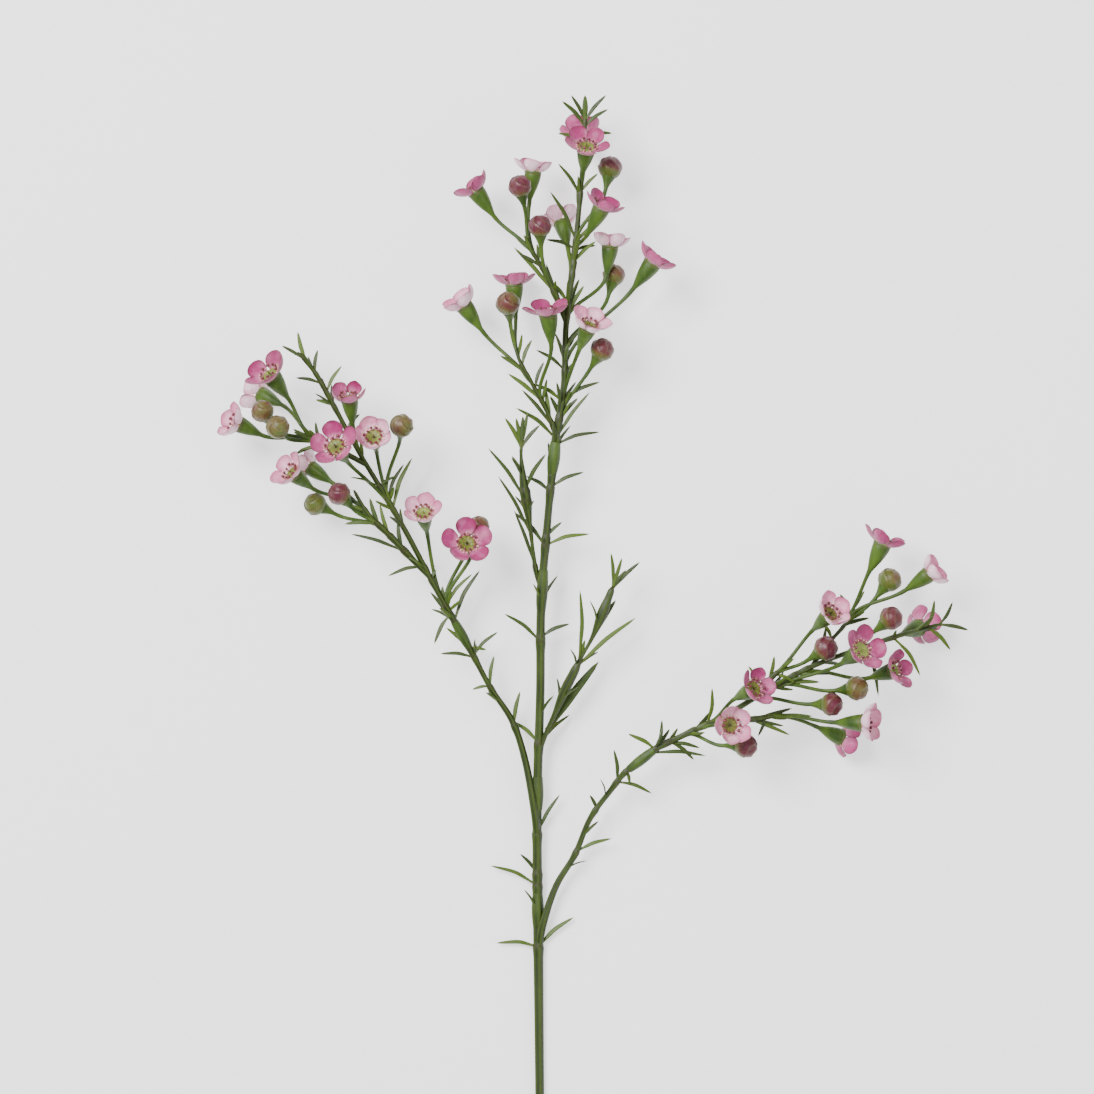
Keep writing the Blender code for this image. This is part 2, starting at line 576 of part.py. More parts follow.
def largest_body(obj):
    """Drops any loose scrap, so that the object is one body."""
    bm = bmesh.new()
    bm.from_mesh(obj.data)
    bmesh.ops.remove_doubles(bm, verts=bm.verts, dist=1e-7)
    seen, bodies = set(), []
    for vert in bm.verts:
        if vert in seen:
            continue
        body, todo = [], [vert]
        seen.add(vert)
        while todo:
            here = todo.pop()
            body.append(here)
            for edge in here.link_edges:
                there = edge.other_vert(here)
                if there not in seen:
                    seen.add(there)
                    todo.append(there)
        bodies.append(body)
    bodies.sort(key=len, reverse=True)
    for scrap in bodies[1:]:
        bmesh.ops.delete(bm, geom=scrap, context="VERTS")
    bm.to_mesh(obj.data)
    bm.free()
    return obj


def bloom_head(bloom, materials, collection):
    """Five petals round a low disc, seated just above the cup."""
    name, _, centre, facing, tint, opening, diameter, _, turn = bloom
    bm = bmesh.new()
    bmesh.ops.create_cone(
        bm, cap_ends=True, segments=2 * PETAL_COUNT, radius1=DISC_RADIUS * 0.9, radius2=DISC_RADIUS * 0.86,
        depth=DISC_HEIGHT,
    )
    bmesh.ops.rotate(bm, verts=bm.verts, matrix=Matrix.Rotation(math.radians(turn + 18), 3, "Z"))
    pieces = [mesh_object(name, bm, collection)]
    size = diameter / 24
    for i in range(PETAL_COUNT):
        bm = bmesh.new()
        lean = 4 * math.sin(2.4 * i + turn)
        petal(
            bm, opening + lean, PETAL_LENGTH * size, PETAL_WIDTH * size,
            math.radians(turn + 72 * i), cup=1.6 if tint == PALE else 1.0,
        )
        pieces.append(mesh_object(f"{name}_petal_{i}", bm, collection))
    bm = bmesh.new()
    bmesh.ops.create_cone(bm, cap_ends=True, segments=3, radius1=0.8, radius2=0.6, depth=3.4)
    bmesh.ops.translate(bm, verts=bm.verts, vec=(0, 0, 1.2))
    pieces.append(mesh_object(name + "_style", bm, collection))
    head = largest_body(joined(name, pieces, collection))
    place = Matrix.Translation(Vector(centre) * MM) @ frame_of(facing).to_matrix().to_4x4()
    head.data.transform(place)
    head.data.materials.clear()
    head.data.materials.append(materials[tint])
    return head


def bud_head(bud, material, collection):
    """A closed bud: a globe with five petal folds that twist towards its tip."""
    name, _, centre, facing, radius, _ = bud
    bm = bmesh.new()
    bmesh.ops.create_uvsphere(bm, u_segments=BUD_SEGMENTS, v_segments=BUD_RINGS, radius=radius)
    for vert in bm.verts:
        around = math.atan2(vert.co.y, vert.co.x) + 0.08 * vert.co.z
        vert.co.xy *= 1 + BUD_RIB_DEPTH * math.cos(PETAL_COUNT * around)
        vert.co.z *= 0.96
    head = mesh_object(name, bm, collection)
    place = Matrix.Translation(Vector(centre) * MM) @ frame_of(facing).to_matrix().to_4x4()
    head.data.transform(place)
    head.data.shade_smooth()
    head.data.materials.append(material)
    return head


def stem_solid(stem, material, collection, draw):
    """A leafy stem: its axis, sheaths, needles and the stalks of its blooms and buds."""
    pieces, lines, broad = [], [], []
    for axis in [stem] + [twig for twig, carrier in TWIGS.items() if carrier == stem]:
        pieces += stem_core(axis, 0, collection)
        pieces += [bloom_stalk(b, collection) for b in BLOOMS if b[1] == axis]
        pieces += [bud_stalk(b, collection) for b in BUDS if b[1] == axis]
        lines += [seen_leaf(axis, leaf) for leaf in LEAVES[axis]]
        broad += [(seen_leaf(axis, leaf), half) for carrier, leaf, half in BROAD_LEAVES if carrier == axis]
        for run in PAIR_RUNS:
            if run[0] == axis:
                lines += pair_leaves(run, draw)
    lengths = [((line[-1] - line[0]).length, line) for line in lines if line]
    leaves = [(line, LEAF_BELLY_RADIUS * min(1.0, 0.7 + length / 50)) for length, line in lengths]
    for i, (line, half) in enumerate(leaves + [leaf for leaf in broad if leaf[0]]):
        bm = bmesh.new()
        needle(bm, line, half)
        pieces.append(mesh_object(f"{stem}_leaf_{i}", bm, collection))
    body = largest_body(joined(stem, pieces, collection))
    body.data.shade_smooth()
    body.data.materials.clear()
    body.data.materials.append(material)
    return body


def clear_joint(branch, stem, collection):
    """Cuts a branch's root back from the stem that carries it, so that the two meet with the seat gap."""
    cutter = joined(f"{stem}_cutter", stem_core(stem, SEAT_GAP * 1.2, collection), collection)
    cut = branch.modifiers.new("joint", "BOOLEAN")
    cut.operation = "DIFFERENCE"
    cut.object = cutter
    cut.solver = "MANIFOLD"
    bpy.context.view_layer.update()
    graph = bpy.context.evaluated_depsgraph_get()
    mesh = bpy.data.meshes.new_from_object(branch.evaluated_get(graph))
    branch.modifiers.clear()
    branch.data = mesh
    mesh.name = branch.name
    bpy.data.objects.remove(cutter)
    largest_body(branch)


def set_origin(parts):
    """Moves everything so that the origin is on the surface, under the middle of the box."""
    corners = [v.co for part in parts for v in part.data.vertices]
    low = Vector([min(c[i] for c in corners) for i in range(3)])
    high = Vector([max(c[i] for c in corners) for i in range(3)])
    move = Matrix.Translation((-(low.x + high.x) / 2, -(low.y + high.y) / 2, -low.z))
    for part in parts:
        part.data.transform(move)


def main():
    """Models the whole stem from an empty scene."""
    for obj in list(bpy.data.objects):
        bpy.data.objects.remove(obj)
    collection = bpy.data.collections.new("waxflower_stem")
    bpy.context.scene.collection.children.link(collection)
    green = new_material("leaf_green", (0.10, 0.19, 0.05), 0.5)
    petals = {
        DEEP: new_material("deep_pink_petal", (0.53, 0.10, 0.27), 0.45),
        PALE: new_material("pale_pink_petal", (0.80, 0.45, 0.58), 0.45),
    }
    bud_green = new_material("bud_maroon", (0.25, 0.10, 0.09), 0.45)
    draw = random.Random(PAIR_SEED)
    parts = {stem: stem_solid(stem, green, collection, draw) for stem in STEMS if stem not in TWIGS}
    for branch in ("left_branch", "right_branch", "left_sprig", "right_sprig"):
        clear_joint(parts[branch], "main_stem", collection)
    solids = list(parts.values())
    solids += [bloom_head(b, petals, collection) for b in BLOOMS]
    solids += [bud_head(b, bud_green, collection) for b in BUDS]
    set_origin(solids)


main()
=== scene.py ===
"""Looks of a cut waxflower stem that lies on a pale surface, seen from straight above.

The layout below is the one the solids were made from, in millimetres of the view: +X to the
right, +Y from the cut end to the tip, +Z up from the surface. Each sub-assembly is a class.
"""

import logging
import math
import random
from collections.abc import Callable, Iterable, Sequence
from dataclasses import dataclass, field
from enum import Enum

import bpy
from mathutils import Matrix, Quaternion, Vector


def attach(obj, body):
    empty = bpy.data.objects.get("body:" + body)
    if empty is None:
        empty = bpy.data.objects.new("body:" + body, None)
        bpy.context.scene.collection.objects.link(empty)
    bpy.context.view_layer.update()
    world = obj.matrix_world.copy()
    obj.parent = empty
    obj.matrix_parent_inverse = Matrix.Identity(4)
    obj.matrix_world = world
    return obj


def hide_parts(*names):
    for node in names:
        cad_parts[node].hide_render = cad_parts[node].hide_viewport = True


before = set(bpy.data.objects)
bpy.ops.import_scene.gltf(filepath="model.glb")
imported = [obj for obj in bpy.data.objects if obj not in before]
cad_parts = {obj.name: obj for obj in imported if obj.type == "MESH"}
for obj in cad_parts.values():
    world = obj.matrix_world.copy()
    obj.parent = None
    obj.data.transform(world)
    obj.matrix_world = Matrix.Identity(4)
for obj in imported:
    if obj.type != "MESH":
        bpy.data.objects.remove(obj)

LOG = logging.getLogger("waxflower")
MM = 0.001
BODY = "root"
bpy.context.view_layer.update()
USUAL_BLOOM = 24

Point = tuple[float, float, float]
Place = tuple[float, float]
Colour = tuple[float, float, float, float]
Material = bpy.types.Material
Object = bpy.types.Object
Socket = bpy.types.NodeSocket
Share = Callable[[float], float]


class Tint(Enum):
    """The two colours of bloom."""

    DEEP = "petal_deep"
    PALE = "petal_pale"


@dataclass(frozen=True)
class Bloom:
    """One open bloom: its disc's centre, the way it faces, and where its pedicel leaves the stem."""

    name: str
    stem: str
    centre: Point
    facing: Point
    tint: Tint
    opening: float
    diameter: float
    root: Place
    turn: float

    @property
    def out(self) -> Vector:
        """The unit vector that the bloom faces along."""
        return Vector(self.facing).normalized()

    @property
    def size(self) -> float:
        """The bloom's size against the usual 24 mm."""
        return self.diameter / USUAL_BLOOM


@dataclass(frozen=True)
class Bud:
    """One closed bud on a short neck, and how far it has turned from green (0) to maroon (1)."""

    name: str
    stem: str
    centre: Point
    facing: Point
    radius: float
    root: Place
    ripeness: float

    @property
    def out(self) -> Vector:
        """The unit vector from the bud's neck to its tip."""
        return Vector(self.facing).normalized()


# Each stem is a smooth line through (x, y, z, radius) points, from its root to its tip.
STEMS: dict[str, list[tuple[float, float, float, float]]] = {
    "main_stem": [
        (0, -100, 2.3, 2.3), (0, -40, 2.3, 2.3), (-0.5, 20, 2.4, 2.3), (-1, 70, 2.8, 2.5),
        (-1.5, 110, 4.5, 2.4), (-1.5, 150, 7.5, 2.3), (0, 200, 12, 2.2), (0.5, 245, 16.5, 2.2),
        (4, 290, 21, 1.9), (7.5, 325, 24.5, 1.9), (12, 355, 27, 1.7), (13, 385, 28.5, 1.5),
        (17, 418, 29.5, 1.4), (20.5, 455, 30, 1.2), (22.5, 487, 30.5, 0.9),
    ],
    "left_branch": [
        (-3, 141, 9.5, 1.9), (-7.5, 166, 10.5, 1.8), (-14, 186, 12, 1.6), (-25, 203, 14, 1.4),
        (-34, 220, 16.5, 1.4), (-44, 238, 19, 1.5), (-54, 256, 21.5, 1.4), (-66, 279, 24, 1.4),
        (-78, 300, 25.5, 1.3), (-90, 320, 27, 1.2), (-102, 342, 28, 1.2), (-112, 360, 28.5, 1.1),
        (-121, 371, 29, 0.8),
    ],
    "right_branch": [
        (1.5, 84, 5.5, 1.9), (8, 103, 7, 1.7), (17.5, 119, 9.5, 1.5), (25, 137, 12.5, 1.4),
        (35, 151, 16, 1.4), (43, 161, 19, 1.4), (57, 172, 22.5, 1.5), (73, 180, 25, 1.5),
        (92, 189, 26.5, 1.5), (112, 201, 27, 1.4), (134, 213, 27.5, 1.3), (160, 223, 28, 1.2),
        (182, 230, 28.5, 1.1), (200, 235, 29, 0.8),
    ],
    "left_sprig": [
        (-2.2, 262, 17.5, 1.2), (-4.6, 280, 21, 0.9), (-6, 290, 22.5, 1.9), (-7, 297, 23.5, 2.5),
        (-8.5, 307, 25, 2.0), (-9.5, 319, 26.5, 0.8), (-9.3, 324, 27, 0.9),
    ],
    "right_sprig": [
        (3.0, 180, 11, 1.2), (7, 189, 13.5, 1.3), (12, 201, 16, 2.4), (16.5, 210, 18, 2.2),
        (20, 217, 19.5, 1.0), (26, 228, 21.5, 1.1), (31, 240, 23, 2.7), (34.5, 249, 24, 1.7),
        (36.5, 254, 24.5, 0.9),
    ],
    "crown_spray": [
        (9, 326, 26, 1.2), (3.5, 341, 29, 1.1), (-4, 355, 31, 1.0), (-10, 366, 31, 0.9),
        (-13, 375, 30, 0.7),
    ],
    "right_spray": [
        (135, 213, 27, 1.1), (144, 225, 23, 1.0), (152, 234, 21.5, 0.9), (157, 243, 21.5, 0.7),
    ],
    "crown_left_shoot": [
        (12.8, 386, 28.5, 1.2), (9, 396, 31, 1.5), (2, 411, 33, 1.2), (-5, 422, 34, 0.8),
    ],
    "left_shoot": [
        (-56, 259, 22, 1.2), (-65, 268.5, 26, 1.6), (-75, 279, 29, 1.5), (-86, 290, 31, 1.2),
        (-93, 302, 32, 0.8),
    ],
    "left_high_shoot": [
        (-86, 314, 26.5, 1.2), (-95, 319, 29, 1.4), (-104, 323, 31, 1.3), (-113, 327, 32, 0.9),
    ],
    "right_mid_shoot": [
        (104, 196.5, 27, 1.2), (112, 205, 28.5, 1.4), (120, 212.5, 30, 0.9),
    ],
    "right_low_shoot": [
        (93, 189, 26.5, 1.2), (105, 187.5, 27.5, 1.4), (118, 189.5, 28, 0.9),
    ],
}

# The twigs that are one piece with the stem that carries them.
TWIGS: dict[str, str] = {
    "crown_spray": "main_stem",
    "crown_left_shoot": "main_stem",
    "left_shoot": "left_branch",
    "left_high_shoot": "left_branch",
    "right_spray": "right_branch",
    "right_mid_shoot": "right_branch",
    "right_low_shoot": "right_branch",
}

# The height on the main stem where each branch and sprig leaves it.
ROOTS: dict[str, float] = {
    "left_branch": 127, "right_branch": 70, "left_sprig": 251, "right_sprig": 169,
}

# The thicker sheaths where a shoot joins: stem, first and last height along it, radius,
# and how much of the cups' lighter green each shows.
SHEATHS = [
    ("main_stem", 310, 326, 3.2, 0.5),
    ("main_stem", 240, 262, 2.9, 0.1),
    ("main_stem", 140, 158, 3.1, 0.1),
    ("main_stem", 80, 100, 3.1, 0.1),
    ("left_branch", 223, 236, 2.5, 0.5),
    ("right_branch", 162, 172, 2.6, 0.5),
]

DEEP, PALE = Tint.DEEP, Tint.PALE

# The blooms, by cluster. Their names count up from the first.
BLOOMS = [
    Bloom(f"{cluster}_bloom_{number:02}", *row)
    for cluster, rows in {
        "crown": (
            ("main_stem", (20.5, 480, 12.05), (-0.1, 0.80, -0.6), DEEP, 32, 23, (21, 447), 0),
            ("main_stem", (23, 472, 42), (0.1, 0.75, 0.65), DEEP, 28, 24, (20, 446), 20),
            ("crown_left_shoot", (-32, 451, 30), (-0.58, 0.8, 0.1), DEEP, 35, 23, (-4, 420), 40),
            ("crown_left_shoot", (-3.5, 461, 27), (0.12, 0.99, 0.05), PALE, 39, 22, (-1, 414), 10),
            ("main_stem", (30.5, 442, 41), (0.45, 0.85, 0.25), DEEP, 35, 23, (19, 420), 30),
            ("main_stem", (11, 436, 13), (-0.2, 0.85, -0.5), PALE, 37, 22, (15, 400), 0),
            ("main_stem", (35, 424, 21), (0.12, 0.98, 0.0), PALE, 41, 22, (13, 385), 50),
            ("main_stem", (56, 415, 33), (0.6, 0.8, 0.1), DEEP, 30, 24, (13, 360), 15),
            ("crown_spray", (-13, 405, 16), (-0.05, 1.0, 0.05), DEEP, 30, 23, (-11, 368), 25),
            ("crown_spray", (-38, 394, 27), (-0.58, 0.8, 0.2), PALE, 41, 23, (-3, 354), 35),
            ("crown_spray", (4, 389, 44.5), (-0.1, 0.95, 0.25), DEEP, 26, 24, (1, 345), 5),
            ("main_stem", (24, 383, 45), (0.3, 0.75, 0.55), PALE, 37, 23, (10, 340), 45),
        ),
        "left": (
            ("left_high_shoot", (-134, 359, 40), (-0.5, 0.68, 0.52), DEEP, 32, 25, (-111, 326), 10),
            ("left_high_shoot", (-140, 350, 11.57), (-0.7, 0.35, -0.5), PALE, 33, 22, (-108, 325), 30),
            ("left_high_shoot", (-151, 335, 28), (-0.8, 0.38, 0.4), PALE, 43, 22, (-112, 327), 50),
            ("left_branch", (-95, 347, 36), (-0.1, 0.85, 0.45), DEEP, 45, 22, (-86, 318), 20),
            ("left_branch", (-101, 323, 52), (-0.3, 0.42, 0.85), DEEP, 30, 25, (-76, 290), 25),
            ("left_branch", (-82.5, 328, 45), (-0.05, 0.4, 0.9), PALE, 43, 23, (-72, 292), 0),
            ("left_shoot", (-123, 310, 38), (-0.65, 0.5, 0.55), PALE, 34, 22, (-86, 291), 40),
            ("left_shoot", (-115, 313, 17), (-0.75, 0.5, -0.35), PALE, 39, 21, (-84, 289), 12),
            ("left_branch", (-58, 290, 37), (-0.1, 0.62, 0.75), PALE, 39, 22, (-41, 247), 30),
            ("left_branch", (-36.5, 275, 38), (0.12, 0.42, 0.9), DEEP, 22, 25, (-41, 245), 5),
        ),
        "right": (
            ("right_spray", (171, 275, 28), (0.43, 0.9, 0.1), DEEP, 30, 24, (156, 240), 0),
            ("right_spray", (194, 260, 32), (0.8, 0.56, 0.2), PALE, 43, 22, (153, 236), 20),
            ("right_mid_shoot", (144, 240, 42), (0.5, 0.5, 0.65), PALE, 41, 23, (119, 211), 40),
            ("right_branch", (159, 222, 51), (0.55, 0.4, 0.75), DEEP, 28, 25, (114, 202), 25),
            ("right_branch", (176, 212, 37), (0.75, 0.25, 0.5), DEEP, 34, 22, (128, 210), 50),
            ("right_branch", (190, 233, 13), (0.6, 0.2, -0.75), DEEP, 34, 23, (160, 222), 10),
            ("right_branch", (106, 203, 43), (0.6, 0.35, 0.7), DEEP, 38, 23, (84, 185), 30),
            ("right_branch", (94, 185, 45), (0.42, 0.02, 0.9), PALE, 39, 23, (74, 180), 15),
            ("right_low_shoot", (161, 186, 37), (0.93, 0.0, 0.35), PALE, 41, 23, (116, 189), 0),
            ("right_low_shoot", (151, 178, 11.62), (0.8, -0.35, -0.45), DEEP, 38, 22, (113, 188.5), 35),
        ),
    }.items()
    for number, row in enumerate(rows, 1)
]

# The buds, in the same way.
BUDS = [
    Bud(f"{cluster}_bud_{number:02}", *row)
    for cluster, rows in {
        "crown": (
            ("main_stem", (35, 463, 26), (0.2, 0.95, -0.2), 6.0, (20, 425), 0.9),
            ("crown_left_shoot", (-10, 453, 40), (-0.2, 0.9, 0.35), 5.7, (-3.5, 419.5), 0.95),
            ("crown_left_shoot", (0, 433, 41), (-0.05, 0.95, 0.3), 5.7, (7, 399), 1.0),
            ("main_stem", (37, 410, 13), (0.25, 0.95, -0.25), 5.6, (13, 370), 0.5),
            ("crown_spray", (-16, 395, 33), (-0.1, 0.85, 0.5), 6.0, (-12, 372), 0.35),
            ("main_stem", (31, 372, 31), (0.5, 0.8, 0.2), 5.9, (9, 335), 0.55),
        ),
        "left": (
            ("left_high_shoot", (-138, 341, 41), (-0.5, 0.7, 0.5), 5.6, (-112.5, 327), 0.4),
            ("left_high_shoot", (-130, 333, 49), (-0.3, 0.4, 0.85), 5.8, (-108, 325), 0.3),
            ("left_branch", (-69, 334, 33), (0.1, 0.6, 0.8), 5.9, (-74, 296), 0.3),
            ("left_shoot", (-100, 300, 37), (-0.6, 0.65, 0.4), 5.7, (-80, 284), 0.75),
            ("left_shoot", (-112.5, 295, 22), (-0.8, 0.4, 0.2), 5.7, (-78, 281), 0.2),
            ("left_branch", (-30.5, 284, 25), (0.2, 0.9, 0.1), 5.2, (-42, 243), 0.35),
        ),
        "right": (
            ("right_spray", (175, 257, 22), (0.6, 0.75, -0.1), 6.0, (152, 234), 0.42),
            ("right_branch", (175, 238, 34), (0.75, 0.6, 0.2), 5.9, (150, 220), 0.7),
            ("right_mid_shoot", (142.5, 223, 34), (0.75, 0.5, 0.3), 6.1, (116, 209), 0.8),
            ("right_branch", (158, 203, 32.5), (0.95, 0.1, 0.25), 6.0, (116, 203), 0.3),
            ("right_branch", (145.5, 195, 31), (0.95, 0.0, 0.25), 5.8, (104, 196), 0.75),
            ("right_branch", (102.5, 174.5, 36), (0.95, 0.0, 0.3), 6.0, (72, 178), 0.7),
        ),
    }.items()
    for number, row in enumerate(rows, 1)
]

# Needle leaves seen in the view, by stem: (root x, root y, tip x, tip y).
LEAVES: dict[str, list[tuple[float, float, float, float]]] = {
    "crown_spray": [
        (6, 334, -9, 352), (5, 336, 3, 352), (0, 347, -16, 360), (-3, 352, 2, 366), (-7, 360, -20, 369),
        (-9, 364, -4, 377),
    ],
    "right_spray": [
        (140, 219, 143, 234), (146, 227, 141, 236), (152, 234, 165, 238), (155, 240, 150, 250),
    ],
    "crown_left_shoot": [
        (5, 400, -13, 423), (1, 413, -11, 420), (6, 401, -1, 411), (10, 394, 3, 415), (-5, 421, -7, 429),
    ],
    "left_shoot": [
        (-68, 271, -94.5, 280), (-82, 284, -97.5, 285), (-80, 284, -85, 298), (-75, 279, -80, 295),
        (-88, 292, -97, 298), (-69, 272, -71, 287),
    ],
    "left_high_shoot": [
        (-108, 324, -124, 319), (-106, 323, -120, 322), (-111, 326, -123, 331), (-109, 325, -112, 336),
    ],
    "right_mid_shoot": [
        (114, 207, 117, 219), (119, 211, 125, 216), (117, 210, 127, 206), (110, 203, 104, 214),
    ],
    "right_low_shoot": [
        (104, 188, 125, 179.5), (103, 188, 122, 184), (112, 188.5, 109, 179), (116, 189, 136, 189),
        (108, 188, 126, 193),
    ],
    "main_stem": [
        (-3, 72, -22, 74), (2, 72, 17, 87), (-3, 103, -25, 113), (-3, 109, -10, 119),
        (2, 129, 10, 149), (-2, 175, -14, 186), (2, 174, 15, 189), (-2, 226, -18, 240),
        (3, 228, 15, 235), (1, 274, -13, 291), (5, 274, 25, 280), (6, 278, 11, 286),
        (8, 303, 22, 311), (4, 301, -7, 309), (11, 324, 30, 331), (11, 327, 25, 351),
        (12, 336, 19, 348), (15, 346, 30, 356), (5, 328, -12, 343), (7, 347, -3, 355),
        (4, 310, 4, 326), (6, 339, 5, 349), (17, 389, 22, 404),
        (16, 427, 5, 451), (18, 449, 9, 465), (23, 450, 29, 460), (27, 478, 36, 480),
        (14, 476, 9, 480), (20, 415, 28, 426), (20, 421, 28, 424), (10, 423, 3, 427),
        (15, 410, 11, 433), (13, 395, 4, 407), (22, 486, 15.5, 499), (24, 486, 33, 499),
        (27, 483, 34, 492), (18, 484, 11, 496), (14, 372, 21, 383), (9, 362, -2, 372),
    ],
    "left_branch": [
        (-25, 203, -23, 219), (-26, 203, -34, 202), (-12, 184, -10, 201), (-33, 219, -21, 231),
        (-35, 217, -50, 220), (-38, 222, -47, 233), (-35, 223, -27, 222), (-46, 239, -53, 225),
        (-42, 236, -55, 251), (-44, 246, -49, 254), (-41, 247, -34, 260), (-38, 239, -30, 262),
        (-61, 262, -76, 259), (-54, 257, -52, 262), (-69, 295, -64, 318),
        (-71, 300, -68, 315), (-119, 364, -121, 381), (-114, 359, -111, 372),
        (-120, 366, -129, 374), (-109, 350, -109, 358), (-102, 353, -99, 364), (-113, 353, -122, 358),
        (-105, 343, -112, 347), (-96, 332, -90, 340), (-81, 303, -72, 309),
    ],
    "right_branch": [
        (38, 156, 37, 172), (41, 154, 56, 150), (44, 160, 45, 155), (26, 143, 25, 149),
        (19, 120, 36, 127), (56, 175, 44, 180), (57, 175, 61, 187), (63, 175, 69, 183),
        (83, 186, 86, 201), (76, 184, 86, 192), (66, 173, 80, 173), (57, 168, 83, 169),
        (68, 170, 77, 167), (83, 186, 86, 203),
        (192, 236, 197, 247), (199, 237, 206, 246), (200, 233, 214, 232),
        (196, 225, 205, 222), (180, 217, 190, 209), (167, 206, 169, 199), (176, 227, 178, 232),
        (120, 204, 140, 206), (128, 209, 146, 210), (134, 213, 150, 219),
    ],
    "left_sprig": [
        (-10, 296, -26, 323), (-4, 280, -21, 309), (-2.5, 264, -13, 292), (-5, 302, 3, 320),
        (-9, 323, -17.5, 338), (-9.5, 323, -12, 338), (-9, 324, -8.5, 339), (-9, 323, -6, 341),
        (-9, 323, 0, 334.5),
    ],
    "right_sprig": [
        (18, 217, 20, 252), (20, 214, 22.5, 227), (21, 212, 48, 238), (36, 254, 35.5, 270.5),
        (36.5, 254, 41, 268), (36, 253, 43, 262), (36, 252, 50, 266),
    ],
}

# The few broad leaves: stem, root and tip as above, half width.
BROAD_LEAVES = [
    ("right_sprig", (4, 181, 29.5, 216), 2.1),
    ("right_sprig", (27, 228, 38, 247), 1.5),
    ("main_stem", (22.5, 486, 22.5, 499), 1.4),
]

# Leaf pairs towards and away from the viewer: stem, first and last height, spacing, length.
PAIR_RUNS = [
    ("main_stem", 90, 300, 50, 15),
    ("main_stem", 322, 480, 24, 17),
    ("left_branch", 195, 250, 20, 13),
    ("left_branch", 262, 365, 20, 16),
    ("right_branch", 112, 160, 18, 13),
    ("right_branch", 172, 234, 14, 16),
    ("left_sprig", 290, 318, 16, 13),
    ("right_sprig", 196, 250, 20, 13),
]


def srgb(red: int, green: int, blue: int) -> Colour:
    """A colour given from 0 to 255, in Blender's linear numbers.

    Args:
        red: Its red.
        green: Its green.
        blue: Its blue.

    Returns:
        The linear colour, opaque.
    """
    shares = [c / 255 for c in (red, green, blue)]
    return (*[((c + 0.055) / 1.055) ** 2.4 if c > 0.04 else c / 12.92 for c in shares], 1.0)


def smooth_line(points: Sequence[Sequence[float]], step: float) -> list[Vector]:
    """Points at about even spacing on a smooth curve through the given points.

    Args:
        points: The points that the curve passes through.
        step: The spacing, in millimetres.

    Returns:
        The curve's points, from the first given point to the last.
    """
    knots = [Vector(p) for p in points]
    knots = [2 * knots[0] - knots[1], *knots, 2 * knots[-1] - knots[-2]]
    line = []
    for a, b, c, d in zip(knots, knots[1:], knots[2:], knots[3:]):
        count = max(1, round((c - b).length / step))
        for i in range(count):
            t = i / count
            line.append(
                0.5 * (2 * b + (c - a) * t + (2 * a - 5 * b + 4 * c - d) * t**2
                       + (3 * b - a - 3 * c + d) * t**3)
            )
    line.append(knots[-2])
    return line


@dataclass
class LeafLine:
    """A leaf's midline, the way that its upper face looks, and a broad leaf's half width."""

    points: list[Vector]
    face: Vector
    half: float | None = None


